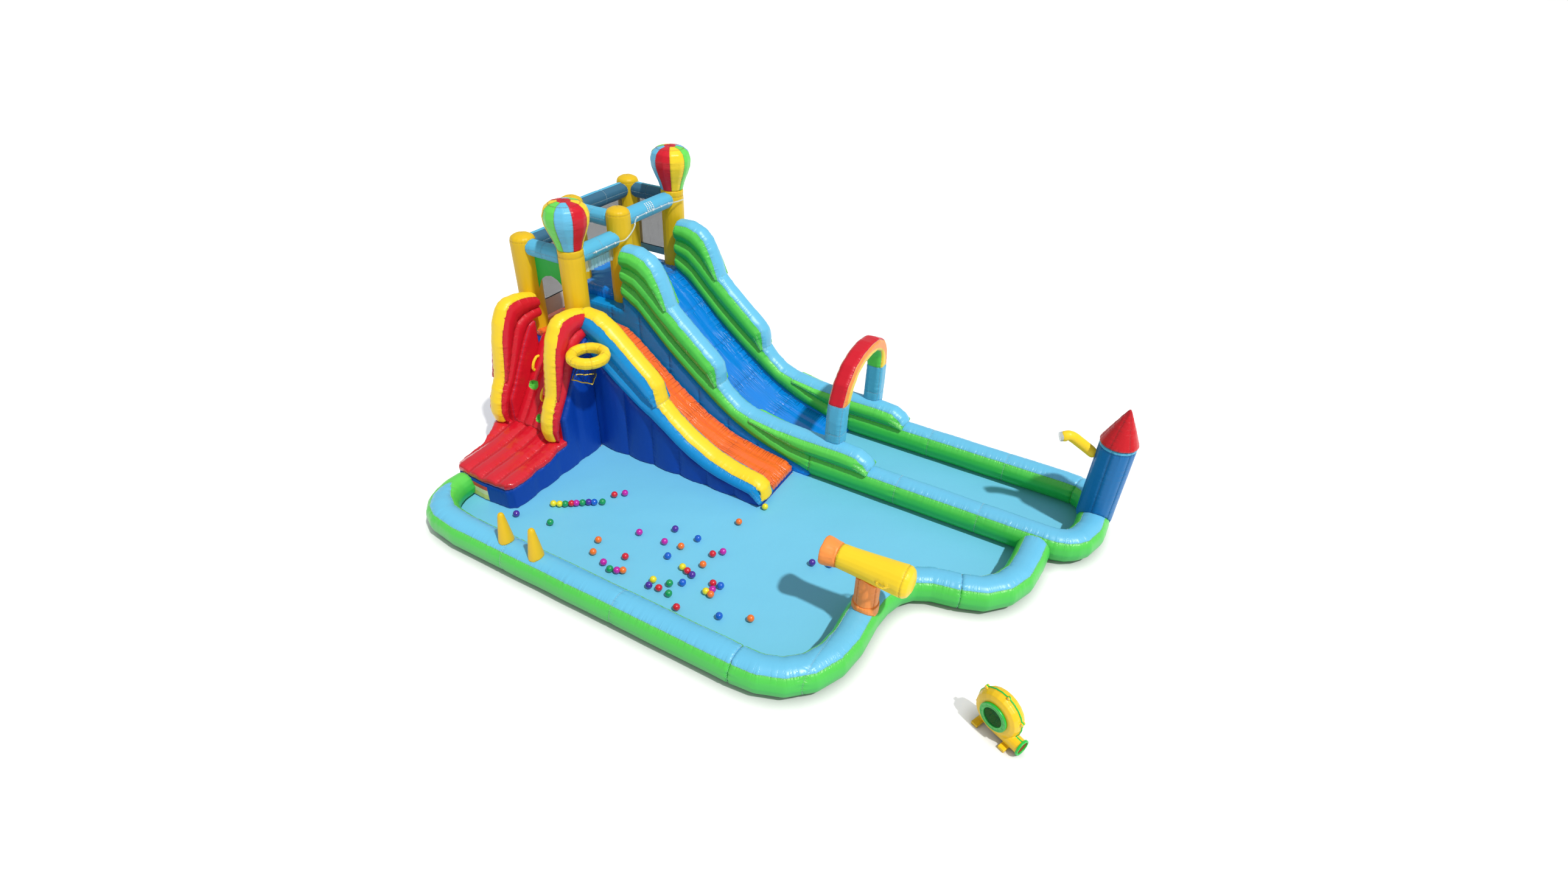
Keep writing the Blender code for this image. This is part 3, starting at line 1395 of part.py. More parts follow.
def build_cannon(wall_cutter):
    x, y, _ = grid(*CANNON_SHARES, 0)
    foot = WALL_RADIUS * WALL_HEIGHT_SHARE + WALL_RADIUS / 3
    ring = [(0, CANNON_FOOT_TOP), (CANNON_FOOT_RADIUS, CANNON_FOOT_TOP), (CANNON_FOOT_RADIUS, foot), (0, foot)]
    cut(turned("cannon_foot", ring, "yellow", 20, None, (x, y, 0)), [wall_cutter])
    swivel = new_empty("cannon_swivel", (x, y, CANNON_FOOT_TOP), SETOUT)
    base = SEAT_GAP
    top = CANNON_AXIS_HEIGHT - CANNON_FOOT_TOP
    post = [(0, top), (CANNON_POST_RADIUS, top), (CANNON_POST_RADIUS, base), (0, base)]
    post = turned("cannon_post", post, "orange", 20, swivel)
    pivot = new_empty("barrel_pivot", (0, 0, top), swivel)
    lying = math.pi / 2
    rooms = []
    for index, tilt in enumerate((-CANNON_TILT, 0, CANNON_TILT)):
        name = f"barrel_room_{index + 1}"
        rooms.append(turned(name, barrel_profile(SEAT_GAP), None, 20, pivot, (0, 0, 0), (0, lying + tilt, 0)))
    cut(post, rooms)
    barrel = turned("cannon_barrel", barrel_profile(), "yellow", 20, pivot, (0, 0, 0), (0, lying, 0))
    cut(barrel, [build_grip("grip_near", -1, pivot), build_grip("grip_far", 1, pivot)], "UNION")
    start = BARREL_LENGTH * BARREL_SHARES[-1][1] - SEAT_GAP
    muzzle = [(MUZZLE_RADIUS * r, start + MUZZLE_LENGTH * z) for r, z in MUZZLE_SHARES]
    turned("cannon_muzzle", muzzle, "orange", 20, pivot, (0, 0, 0), (0, lying, 0))


def build_grip(name, side, pivot):
    """A webbing loop on one side of the barrel, for the hands that aim it."""
    start, stop = (BARREL_LENGTH * share for share in GRIP_SHARES)
    steps = HANDLE_STEPS
    path = []
    for i in range(steps + 1):
        rise = GRIP_STAND_OFF * math.sin(math.pi * i / steps) ** 0.6 if 0 < i < steps else 0
        along = start + (stop - start) * i / steps
        path.append(Vector((along, side * (BARREL_RADIUS * GRIP_SEAT_SHARE - TUCK + rise), 0)))
    return bar(name, path, GRIP_RADIUS, None, 1, pivot)


# Basketball hoop sewn into the corner beside the climbing wall
HOOP_RADIUS = 0.06
HOOP_HEIGHT = 1.395
HOOP_REACH = 0.176
HOOP_SHARES = (0.305, -0.352)
HOOP_POINTS = 18


def build_hoop(rooms):
    middle = grid(*HOOP_SHARES, 0)
    path = []
    for i in range(HOOP_POINTS):
        turn = 2 * math.pi * i / HOOP_POINTS
        path.append((middle.x + HOOP_REACH * math.cos(turn), middle.y + HOOP_REACH * math.sin(turn), HOOP_HEIGHT))
    cut(bar("hoop", path, HOOP_RADIUS, "yellow", 2, None, True), rooms)


# Clear spray hose strapped along the beams on the pool side
HOSE_RADIUS = 0.009
HOSE_POINTS = 40
HOSE_SHARES = (
    (0.60, 0.0, 0.0),
    (1.02, 0.0, 0.0),
    (1.16, 0.35, 0.02),
    (1.24, 0.85, 0.05),
    (1.357, 1.08, 0.3),
    (1.48, 0.85, 0.6),
    (1.56, 0.35, 0.92),
    (1.70, 0.0, 1.0),
    (2.12, 0.0, 1.0),
    (2.36, 0.0, 1.0),
    (2.48, 0.35, 1.0),
    (2.58, 0.85, 1.0),
    (2.718, 1.1, 1.0),
)


def build_hose():
    """Each row places the hose: along the posts, out from the beams to the posts, and up."""
    near = GRID * POST_FRONT_SHARE + BEAM_RADIUS + HOSE_RADIUS + SEAT_GAP
    out = POST_RADIUS - BEAM_RADIUS + HOSE_RADIUS
    low, high = LOW_BEAM_HEIGHT, HIGH_BEAM_HEIGHT
    points = [(near + out * away, GRID * y, low + (high - low) * up) for y, away, up in HOSE_SHARES]
    bar("spray_hose", evenly(smooth_through(points), HOSE_POINTS), HOSE_RADIUS, "clear", 1)


# Blower
BLOWER_SHARES = (6.86, -1.85)
BLOWER_TURN = math.radians(-24)
BLOWER_RADIUS = 0.20
BLOWER_DEPTH = 0.15
BLOWER_AXIS_HEIGHT = 0.245
BLOWER_SEAM_RADIUS = 0.212
BLOWER_SEAM_THICKNESS = 0.012
BLOWER_WALL = 0.005
MOTOR_RADIUS = 0.085
MOTOR_LENGTH = 0.05
INLET_RADIUS = 0.088
INLET_RING_RADIUS = 0.125
INLET_RING_THICKNESS = 0.018
OUTLET_RADIUS = 0.062
OUTLET_RING_RADIUS = 0.072
OUTLET_HEIGHT = 0.082
OUTLET_REACH = 0.262
IMPELLER_RADIUS = 0.135
IMPELLER_WIDTH = 0.06
IMPELLER_HUB_RADIUS = 0.03
IMPELLER_BLADES = 12
MOTOR_SHAFT_RADIUS = 0.008
BLADE_THICKNESS = 0.003
BLADE_DEPTH = 0.035
FOOT_LENGTH = 0.2
FOOT_WIDTH = 0.06
FOOT_HEIGHT = 0.03
FOOT_SHARES = (-0.62, 0.72)
LUG_RADIUS = 0.014
LUG_LENGTH = 0.04
LUG_TURNS = tuple(math.radians(turn) for turn in (80, 20, 140, 200))
BORE_SIDES = 18
MOUTH_TURN = math.radians(4)
GRILLE_BARS = 7
GRILLE_BAR = 0.005
SHELL_SHARES = ((0.0, 1.0), (0.76, 1.0), (0.93, 0.80), (1.0, 0.4))


def box(name, size, place, parent, turn=(0, 0, 0), colour=None):
    sheet = bmesh.new()
    bmesh.ops.create_cube(sheet, size=1, matrix=Matrix.Diagonal((*size, 1)))
    made = add_object(name, mesh_from(sheet, name), colour, parent)
    made.location = place
    made.rotation_euler = turn
    return made


def shell_profile(radius, half_depth):
    front = [(radius * r, half_depth * z) for r, z in SHELL_SHARES]
    return front + [(r, -z) for r, z in reversed(front)]


def housing_profile(half):
    """The shell with the flange of its seam and the motor cover at its back."""
    shell = shell_profile(BLOWER_RADIUS, half)
    middle = len(SHELL_SHARES)
    edge = BLOWER_SEAM_THICKNESS / 2
    flange = [(BLOWER_RADIUS, edge), (BLOWER_SEAM_RADIUS, edge)]
    flange += [(r, -z) for r, z in reversed(flange)]
    motor = [(MOTOR_RADIUS, -half), (MOTOR_RADIUS, -half - MOTOR_LENGTH / 2)]
    motor += [(MOTOR_RADIUS * 0.7, -half - MOTOR_LENGTH), (0, -half - MOTOR_LENGTH)]
    return shell[:middle] + flange + shell[middle:-1] + motor


def build_blower():
    """The housing in one with its outlet, feet and motor cover, open at the inlet and the outlet."""
    x, y, _ = grid(*BLOWER_SHARES, 0)
    stand = new_empty("blower_stand", (x, y, 0), SETOUT)
    stand.rotation_euler = (0, 0, BLOWER_TURN)
    shaft = new_empty("blower_shaft", (0, 0, BLOWER_AXIS_HEIGHT), stand)
    shaft.rotation_euler = (math.pi / 2, 0, 0)
    half = BLOWER_DEPTH / 2
    housing = turned("blower_housing", housing_profile(half), "blower_yellow", 22, shaft)
    cut(housing, blower_joined(stand, shaft), "UNION")
    drop = OUTLET_HEIGHT - BLOWER_AXIS_HEIGHT
    chamber = shell_profile(BLOWER_RADIUS - BLOWER_WALL * 2, half - BLOWER_WALL)
    mouth = [(0, half * 2), (INLET_RADIUS, half * 2), (INLET_RADIUS, 0), (0, 0)]
    turns = [2 * math.pi * (i + 0.5) / BORE_SIDES for i in range(BORE_SIDES)]
    radius = OUTLET_RADIUS - BLOWER_WALL
    bore = [(drop + radius * math.cos(turn), radius * math.sin(turn)) for turn in turns]
    hollow = [
        turned("blower_chamber", chamber, None, 22, shaft),
        turned("blower_mouth", mouth, None, 24, shaft, (0, 0, 0), (0, 0, MOUTH_TURN)),
        prism("blower_bore", bore, TUCK * 2, OUTLET_REACH + TUCK, "X", None, shaft),
    ]
    cut(housing, hollow)
    build_grille(shaft, half)
    build_impeller(shaft)


def blower_joined(stand, shaft):
    """What is moulded in one with the housing."""
    drop = OUTLET_HEIGHT - BLOWER_AXIS_HEIGHT
    root = TUCK - OUTLET_REACH
    outlet = [(0, 0), (OUTLET_RING_RADIUS, 0), (OUTLET_RING_RADIUS, -TUCK)]
    outlet += [(OUTLET_RADIUS, -TUCK), (OUTLET_RADIUS, root), (0, root)]
    along = (0, math.pi / 2, 0)
    joined = [turned("blower_outlet", outlet, None, BORE_SIDES, shaft, (OUTLET_REACH, drop, 0), along)]
    for index, share in enumerate(FOOT_SHARES):
        place = (BLOWER_RADIUS * share, 0, FOOT_HEIGHT / 2)
        joined.append(box(f"blower_foot_{index + 1}", (FOOT_WIDTH, FOOT_LENGTH, FOOT_HEIGHT), place, stand))
        leg = (BLOWER_RADIUS * share, 0, BLOWER_AXIS_HEIGHT / 3)
        joined.append(box(f"blower_leg_{index + 1}", (FOOT_WIDTH / 2, FOOT_WIDTH, BLOWER_AXIS_HEIGHT / 2), leg, stand))
    for index, turn in enumerate(LUG_TURNS):
        place = (BLOWER_SEAM_RADIUS * math.cos(turn), BLOWER_SEAM_RADIUS * math.sin(turn), LUG_LENGTH / 2)
        lug = [(0, 0), (LUG_RADIUS, 0), (LUG_RADIUS, -LUG_LENGTH), (0, -LUG_LENGTH)]
        joined.append(turned(f"blower_lug_{index + 1}", lug, None, 6, shaft, place))
    return joined


def build_grille(shaft, half):
    """The inlet ring with its bars."""
    face = half + SEAT_GAP
    outer = [
        (0, face + INLET_RING_THICKNESS),
        (INLET_RING_RADIUS * 0.86, face + INLET_RING_THICKNESS),
        (INLET_RING_RADIUS, face + INLET_RING_THICKNESS / 2),
        (INLET_RING_RADIUS, face),
        (0, face),
    ]
    grille = turned("blower_inlet_grille", outer, "blower_green", 24, shaft)
    slots = []
    inner = INLET_RADIUS * 0.92
    pitch = inner * 2 / GRILLE_BARS
    for index in range(GRILLE_BARS):
        off = (index - (GRILLE_BARS - 1) / 2) * pitch
        reach = math.sqrt(inner**2 - (abs(off) + pitch / 2 - GRILLE_BAR / 2) ** 2)
        size = (reach * 2, pitch - GRILLE_BAR, OVERRUN)
        slots.append(box(f"grille_slot_{index + 1}", size, (0, off, face), shaft))
    cut(grille, slots)


def build_impeller(shaft):
    face = IMPELLER_WIDTH / 2
    hub = [(0, face), (IMPELLER_HUB_RADIUS, face), (IMPELLER_HUB_RADIUS, BLOWER_WALL - face)]
    hub += [(IMPELLER_RADIUS, BLOWER_WALL - face), (IMPELLER_RADIUS, -face), (MOTOR_SHAFT_RADIUS, -face)]
    wall = BLOWER_WALL + SEAT_GAP - BLOWER_DEPTH / 2
    hub += [(MOTOR_SHAFT_RADIUS, wall), (0, wall)]
    impeller = turned("blower_impeller", hub, "blower_grey", 22, shaft)
    blades = []
    middle = IMPELLER_RADIUS - BLADE_DEPTH / 2 - BLADE_THICKNESS
    for index in range(IMPELLER_BLADES):
        turn = 2 * math.pi * index / IMPELLER_BLADES
        place = (middle * math.cos(turn), middle * math.sin(turn), 0)
        size = (BLADE_DEPTH, BLADE_THICKNESS, IMPELLER_WIDTH - BLADE_THICKNESS)
        blades.append(box(f"blade_{index + 1}", size, place, shaft, (0, 0, turn)))
    cut(impeller, blades, "UNION")


def main():
    climb_plan("climb_base_bed", SEAT_GAP)
    build_pool()
    posts = build_posts()
    room = climb_room()
    build_front_base([posts["front_balloon_post"], room])
    build_rear_base()
    build_beams(posts)
    build_balloon("front_balloon", "front_balloon_post", LOW_NECK_TOP)
    build_balloon("rear_balloon", "rear_balloon_post", HIGH_NECK_TOP)
    rail1_rooms = build_rail1([posts["front_balloon_post"]])
    build_lanes(posts, rail1_rooms, room)
    walls = [bpy.data.objects[name] for name in ("channel_front_cutter", "channel_back_cutter")]
    rooms = build_rail2("rail2_front", RAIL2_FRONT_SHARE, [walls[0], posts["middle_front_post"]])
    rooms += build_rail2("rail2_back", RAIL2_BACK_SHARE, [walls[1], posts["rear_balloon_post"]])
    for name, values in NETS.items():
        build_net(name, *values)
    build_valance()
    plan = build_climb_base([room, *rail1_rooms])
    build_climb_mat(plan)
    mat = mat_room()
    build_climb_wall([mat, posts["front_balloon_post"]])
    build_handles()
    near_rooms = build_bumper("near_bumper", NEAR_BUMPER_SHARE, [mat, *rail1_rooms, posts["front_balloon_post"]])
    build_bumper("far_bumper", FAR_BUMPER_SHARE, [mat, posts["front_back_post"]])
    build_cones(bpy.data.objects["pool_front_cutter"])
    build_castle(walls)
    build_arch([*rooms, *walls])
    build_cannon(bpy.data.objects["pool_corner_cutter"])
    build_hoop([*rail1_rooms, *near_rooms])
    build_hose()
    build_blower()


main()
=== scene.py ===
import math

import bmesh
import bpy
import numpy as np
from mathutils import Matrix, Vector
from mathutils.bvhtree import BVHTree
from mathutils.kdtree import KDTree


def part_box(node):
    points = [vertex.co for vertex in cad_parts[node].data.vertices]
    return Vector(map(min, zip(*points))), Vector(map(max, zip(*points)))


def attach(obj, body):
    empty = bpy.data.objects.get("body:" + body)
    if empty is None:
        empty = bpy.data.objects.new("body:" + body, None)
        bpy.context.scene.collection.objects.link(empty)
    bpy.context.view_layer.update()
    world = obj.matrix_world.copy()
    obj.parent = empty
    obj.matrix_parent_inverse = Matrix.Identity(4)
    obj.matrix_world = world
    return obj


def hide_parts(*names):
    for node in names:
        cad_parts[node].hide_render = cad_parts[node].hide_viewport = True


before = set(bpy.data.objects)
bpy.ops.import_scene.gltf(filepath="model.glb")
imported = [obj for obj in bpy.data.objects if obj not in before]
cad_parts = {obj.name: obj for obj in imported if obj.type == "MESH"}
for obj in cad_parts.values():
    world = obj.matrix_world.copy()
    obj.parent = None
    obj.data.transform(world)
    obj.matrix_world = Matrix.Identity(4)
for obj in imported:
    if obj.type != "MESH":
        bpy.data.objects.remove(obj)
for spare in ("Cube", "Light", "Camera"):
    if spare in bpy.data.objects:
        bpy.data.objects.remove(bpy.data.objects[spare], do_unlink=True)
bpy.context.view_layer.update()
scene = bpy.context.scene
print("frame loaded")

# camera, lamps and ground
shot = {
    "place": (5.25225, -6.5295, 5.259),
    "turn": -27.55,
    "dip": 35.13,
    "roll": 2.46,
    "lens": 17.296,
    "sensor": 36,
    "far": 300,
}
daylight = {
    "sun": 3.0,
    "from": (0.45, -0.14, 0.8),
    "softness": 2.5,
    "warmth": (1.0, 0.985, 0.955),
    "sky": 0.42,
    "skyTone": (0.93, 0.97, 1.0),
}
groundLook = {
    "half": 120,
    "drop": 0.001,
    "white": (0.82, 0.82, 0.82),
    # painted shade: the colour the ground takes near what rests on it, how far that reaches and its rays
    "contact": (0.36, 0.36, 0.37),
    "contactReach": 0.17,
    "contactRays": 6,
    "glow": 0.4,
}


def placeCamera():
    turn, dip, roll = (math.radians(shot[key]) for key in ("turn", "dip", "roll"))
    ahead = Vector((math.cos(dip) * math.sin(turn), math.cos(dip) * math.cos(turn), -math.sin(dip)))
    right = ahead.cross(Vector((0, 0, 1))).normalized()
    up = right.cross(ahead)
    across = right * math.cos(roll) + up * math.sin(roll)
    upright = up * math.cos(roll) - right * math.sin(roll)
    data = bpy.data.cameras.new("camera")
    data.sensor_fit = "HORIZONTAL"
    data.sensor_width = shot["sensor"]
    data.lens = shot["lens"]
    data.clip_end = shot["far"]
    camera = bpy.data.objects.new("camera", data)
    scene.collection.objects.link(camera)
    facing = Matrix((across, upright, -ahead)).transposed().to_4x4()
    camera.matrix_world = Matrix.Translation(shot["place"]) @ facing
    scene.camera = camera


placeCamera()


def forward(operation):
    return lambda self, *others: self.sum(operation, *others)


def backward(operation):
    return lambda self, first: self.net.sum(operation, first, self)


class Val:
    # one value of a node tree, so that its maths reads as plain sums
    def __init__(self, net, socket):
        self.net = net
        self.socket = socket

    def sum(self, operation, *others):
        return self.net.sum(operation, self, *others)

    def clamp(self):
        made = self.sum("ADD", 0)
        made.socket.node.use_clamp = True
        return made

    __add__ = forward("ADD")
    __radd__ = forward("ADD")
    __sub__ = forward("SUBTRACT")
    __rsub__ = backward("SUBTRACT")
    __mul__ = forward("MULTIPLY")
    __rmul__ = forward("MULTIPLY")
    __truediv__ = forward("DIVIDE")
    __rtruediv__ = backward("DIVIDE")
    __pow__ = forward("POWER")
    __gt__ = forward("GREATER_THAN")
    __lt__ = forward("LESS_THAN")
    __abs__ = forward("ABSOLUTE")
    sin = forward("SINE")
    root = forward("SQRT")


class Net:
    # a material's tree; node() makes any node, with its settings first
    def __init__(self, name):
        self.material = bpy.data.materials.new(name)
        self.material.use_nodes = True
        self.tree = self.material.node_tree
        self.tree.nodes.clear()

    def put(self, socket, value):
        if isinstance(value, Val):
            self.tree.links.new(value.socket, socket)
        elif hasattr(value, "__len__") and len(value) == 3 and socket.type == "RGBA":
            socket.default_value = (*value, 1)
        else:
            socket.default_value = value

    def node(self, kind, settings=None, values=None, out=0):
        made = self.tree.nodes.new(kind)
        for key, value in (settings or {}).items():
            setattr(made, key, value)
        for key, value in (values or {}).items():
            self.put(made.inputs[key], value)
        return Val(self, made.outputs[out])

    def sum(self, operation, *values):
        return self.node("ShaderNodeMath", {"operation": operation}, dict(enumerate(values)))

    def place(self):
        return self.node("ShaderNodeTexCoord", out="Object")

    def parts(self, vector):
        split = self.node("ShaderNodeSeparateXYZ", {}, {0: vector})
        return [Val(self, socket) for socket in split.socket.node.outputs]

    def attribute(self, name, out="Fac"):
        return self.node("ShaderNodeAttribute", {"attribute_name": name}, {}, out)

    def noise(self, place, scale, detail=3.0, rough=0.55):
        values = {"Vector": place, "Scale": scale, "Detail": detail, "Roughness": rough}
        return self.node("ShaderNodeTexNoise", {}, values)

    def mix(self, factor, first, second):
        return self.node("ShaderNodeMix", {"data_type": "RGBA"}, {0: factor, 6: first, 7: second}, 2)

    def plain(self, colour):
        return self.mix(0.0, colour, colour)

    def bump(self, height):
        return self.node("ShaderNodeBump", {}, {"Strength": 1.0, "Distance": 1.0, "Height": height})

    def principled(self, values):
        return self.node("ShaderNodeBsdfPrincipled", {}, values)

    def scaled(self, colour, amount):
        return self.node("ShaderNodeVectorMath", {"operation": "SCALE"}, {0: colour, 3: amount})

    def finish(self, shader):
        end = self.tree.nodes.new("ShaderNodeOutputMaterial")
        self.tree.links.new(shader.socket, end.inputs["Surface"])
        return self.material


def makeGround():
    net = Net("ground")
    rays = net.node("ShaderNodeLightPath").socket.node.outputs
    straight, mirrored, through = (
        Val(net, rays[f"Is {kind} Ray"]) for kind in ("Camera", "Glossy", "Transmission")
    )
    seen = (straight + mirrored + through).clamp()
    # painted shade: the ground darkens a little near whatever rests on it
    samples = {"samples": groundLook["contactRays"]}
    near = net.node("ShaderNodeAmbientOcclusion", samples, {"Distance": groundLook["contactReach"]}, "AO")
    matt = net.node("ShaderNodeBsdfDiffuse", {}, {"Color": groundLook["white"]})
    shade = net.node("ShaderNodeBsdfDiffuse", {}, {"Color": groundLook["contact"]})
    matt = net.node("ShaderNodeMixShader", {}, {0: near, 1: shade, 2: matt})
    strength = seen * near ** 2 * groundLook["glow"]
    glow = net.node("ShaderNodeEmission", {}, {"Color": (1, 1, 1), "Strength": strength})
    both = net.node("ShaderNodeAddShader", {}, {0: matt, 1: glow})
    material = net.finish(both)
    sheet = bmesh.new()
    bmesh.ops.create_grid(sheet, x_segments=2, y_segments=2, size=groundLook["half"])
    data = bpy.data.meshes.new("ground")
    sheet.to_mesh(data)
    sheet.free()
    data.materials.append(material)
    ground = bpy.data.objects.new("ground", data)
    data.transform(Matrix.Translation((0, 0, -groundLook["drop"])))
    scene.collection.objects.link(ground)


def makeLight():
    data = bpy.data.lights.new("sun", "SUN")
    data.energy = daylight["sun"]
    data.angle = math.radians(daylight["softness"])
    data.color = daylight["warmth"]
    sun = bpy.data.objects.new("sun", data)
    sun.matrix_world = Vector(daylight["from"]).to_track_quat("Z", "Y").to_matrix().to_4x4()
    scene.collection.objects.link(sun)
    world = scene.world or bpy.data.worlds.new("sky")
    scene.world = world
    world.use_nodes = True
    tree = world.node_tree
    tree.nodes.clear()
    rays = tree.nodes.new("ShaderNodeLightPath")
    back = tree.nodes.new("ShaderNodeBackground")
    back.inputs["Color"].default_value = (*daylight["skyTone"], 1)
    back.inputs["Strength"].default_value = daylight["sky"]
    plain = tree.nodes.new("ShaderNodeBackground")
    plain.inputs["Color"].default_value = (1, 1, 1, 1)
    pick = tree.nodes.new("ShaderNodeMixShader")
    end = tree.nodes.new("ShaderNodeOutputWorld")
    tree.links.new(rays.outputs["Is Camera Ray"], pick.inputs[0])
    tree.links.new(back.outputs[0], pick.inputs[1])
    tree.links.new(plain.outputs[0], pick.inputs[2])
    tree.links.new(pick.outputs[0], end.inputs["Surface"])
    scene.view_settings.view_transform = "Standard"


makeGround()
makeLight()
print("camera, light and ground made")

# colours of the cloth, as they look in plain daylight
cloth = {
    "lightBlue": (0.125, 0.47, 0.70),
    "lime": (0.13, 0.64, 0.085),
    "leaf": (0.010, 0.43, 0.055),
    "yellow": (0.86, 0.60, 0.02),
    "ochre": (0.70, 0.45, 0.008),
    "red": (0.57, 0.008, 0.022),
    "orange": (0.88, 0.14, 0.022),
    "paleOrange": (0.90, 0.28, 0.06),
    "laneBlue": (0.001, 0.19, 0.66),
    "midBlue": (0.001, 0.24, 0.58),
    "deepBlue": (0.001, 0.25, 0.84),
    "darkBlue": (0.0015, 0.045, 0.33),
    "castleBlue": (0.001, 0.15, 0.42),
    "roofRed": (0.56, 0.01, 0.018),
    "beamBlue": (0.09, 0.42, 0.64),
    "teal": (0.035, 0.13, 0.22),
    "floor": (0.16, 0.53, 0.75),
}
threads = {
    "light_blue_vinyl": (0.62, 0.80, 0.86),
    "green_vinyl": (0.45, 0.80, 0.50),
    "red_vinyl": (0.60, 0.09, 0.09),
    "yellow_vinyl": (0.72, 0.52, 0.08),
    "orange_vinyl": (0.80, 0.30, 0.12),
    "lane_blue_vinyl": (0.05, 0.32, 0.70),
    "mid_blue_vinyl": (0.10, 0.40, 0.62),
    "dark_blue_vinyl": (0.01, 0.10, 0.42),
    "castle_vinyl": (0.02, 0.20, 0.42),
    "yellow_webbing": (0.72, 0.52, 0.08),
}
coated = {
    "rough": 0.42,
    "crumple": 0.35,
    "crease": 0.55,
    "coat": 0.0,
    "coatRough": 0.09,
    "fade": 0.12,
    "seamDarkening": 0.2,
    # painted light: strength of the glow the cloth gives off in its own colour
    "glow": 0.09,
    "shine": 0.34,
    "spread": 0.035,
}
# noise scales, then the heights and widths in metres of what shows in the cloth
grain = {
    "tone": 1.1,
    "patch": 7.0,
    "crumple": 16.0,
    "dust": 70.0,
    "threads": 1900,
    "gatherDeep": 0.0035,
    "crumpleDeep": 0.0022,
    "dustDeep": 0.0003,
    "threadDeep": 0.00002,
    "seamDeep": 0.0015,
    "seamWide": 0.006,
    "seamDarkWide": 0.012,
}


def coatedCloth(name, paint, **changes):
    # coated woven cloth, air-tight: soft gloss, fine weave, gathers that run off the seams
    look = {**coated, **changes}
    net = Net(name)
    place = net.place()
    seam, pucker = net.attribute("seam"), net.attribute("pucker")
    tone = net.noise(place, grain["tone"])
    patch = net.noise(place, grain["patch"], 4.0, 0.6)
    colour = paint(net, place) if callable(paint) else net.plain(paint)
    light = (1 - look["fade"] / 2) + look["fade"] * tone + 0.05 * (patch - 0.5)
    # darker within a small width of each seam
    nearSeam = (1 - seam / grain["seamDarkWide"]).clamp()
    light = light * (1 - look["seamDarkening"] * nearSeam)
    colour = net.scaled(colour, light)
    ridge = (1 - abs(pucker)).clamp() ** 3
    fall = 1 / (1 + (seam / look["spread"]) ** 2)
    gathers = ridge * fall * (grain["gatherDeep"] * look["crease"])
    crumple = net.noise(place, grain["crumple"], 4.0, 0.6) * (grain["crumpleDeep"] * look["crumple"])
    dust = net.noise(place, grain["dust"], 2.0) * (grain["dustDeep"] * look["crumple"])
    x, y, z = (axis * grain["threads"] for axis in net.parts(place))
    weave = (x.sin() + y.sin() + z.sin()) * grain["threadDeep"]
    groove = (1 - seam / grain["seamWide"]).clamp() * grain["seamDeep"]
    bump = net.bump(crumple + dust + weave - gathers - groove)
    rough = look["rough"] + 0.14 * (patch - 0.5) + 0.1 * nearSeam
    values = {"Base Color": colour, "Roughness": rough, "Normal": bump, "Emission Color": colour}
    shader = net.principled(values)
    settings = shader.socket.node.inputs
    # painted light: the cloth glows in its own colour, standing in for daylight that comes through the thin
    # cloth and lifting its shaded sides
    settings["Emission Strength"].default_value = look["glow"]
    settings["Coat Weight"].default_value = look["coat"]
    settings["Coat Roughness"].default_value = look["coatRough"]
    settings["Specular IOR Level"].default_value = look["shine"]
    return net.finish(shader)


def shaded(net, low, high, start=0.3):
    # painted light and shade: thin coated cloth looks lighter where light falls on it from above, so faces
    # that point up take the high colour and sides and undersides the low
    height = net.parts(net.node("ShaderNodeNewGeometry", out="Normal"))[2]
    return net.mix((height * 0.75 + start).clamp(), cloth[low], cloth[high])


# soft pieces: the node's own form, made smooth, swollen between its seams and gathered along them
soft = {
    "voxel": 0.013,
    "relax": 14,
    "puff": 0.004,
    "span": 0.06,
    "groove": 0.003,
    "grooveWide": 0.009,
    "wrinkle": 0.0022,
    "reach": 0.04,
    "slow": 0.0012,
    "valley": 24,
    "ridge": 46,
    "slices": (),
    "marks": {},
    # seams that lie nearer than 60 degrees to this way are bends of the cloth
    "bend": None,
    # distance from a seam at which its gathers are full
    "onset": 0.008,
    # steps between points read along a seam, and how near a second node's seam is the same one
    "step": 0.008,
    "sharedStep": 0.01,
    "shared": 0.006,
    # height over which the swelling fades out towards the ground
    "foot": 0.02,
}
unseamed = {"ridge": 200, "valley": 200}
# share of the relaxing left on a valley seam, and the pair of shares that relax without shrinking
easing = {"held": 0.35, "shrink": 0.62, "grow": -0.60}
chance = np.random.default_rng(7)


def drawnWaves(count, shortest, longest):
    # plane waves that run any way: direction, phase and length
    return [
        (chance.normal(size=3), chance.uniform(0, 6.3), chance.uniform(shortest, longest))
        for _ in range(count)
    ]


shortWaves = drawnWaves(9, 0.032, 0.085)
longWaves = drawnWaves(6, 0.25, 0.7)
threadLook = {
    "pitch": 0.012,
    "width": 0.010,
    "lift": 0.0012,
    "radius": 0.0009,
    # a seam is laid once in each cell, off the ground and near the finished skin
    "cell": 0.02,
    "lowest": 0.008,
    "shortest": 0.002,
    "gap": 0.03,
}
sewn = {}
stitchRuns = {}


def rippled(points, waves):
    value = np.zeros(len(points))
    for way, phase, length in waves:
        value += np.sin(points @ (way / np.linalg.norm(way)) * (2 * math.pi / length) + phase)
    return value / math.sqrt(len(waves))


def nodeShape(node):
    sheet = bmesh.new()
    sheet.from_mesh(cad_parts[node].data)
    bmesh.ops.remove_doubles(sheet, verts=sheet.verts, dist=0.00005)
    return sheet


def cuts(axis, places, keep=None):
    # planes square to an axis, where a skin is sewn across
    normal = {"x": (1, 0, 0), "y": (0, 1, 0), "z": (0, 0, 1)}[axis]
    return [(tuple(place * part for part in normal), normal, keep) for place in places]


def upright(x, y, turns, keep=None):
    # upright planes through one point, by their turns in degrees
    angles = [math.radians(turn) for turn in turns]
    return [((x, y, 0), (math.sin(angle), -math.cos(angle), 0), keep) for angle in angles]


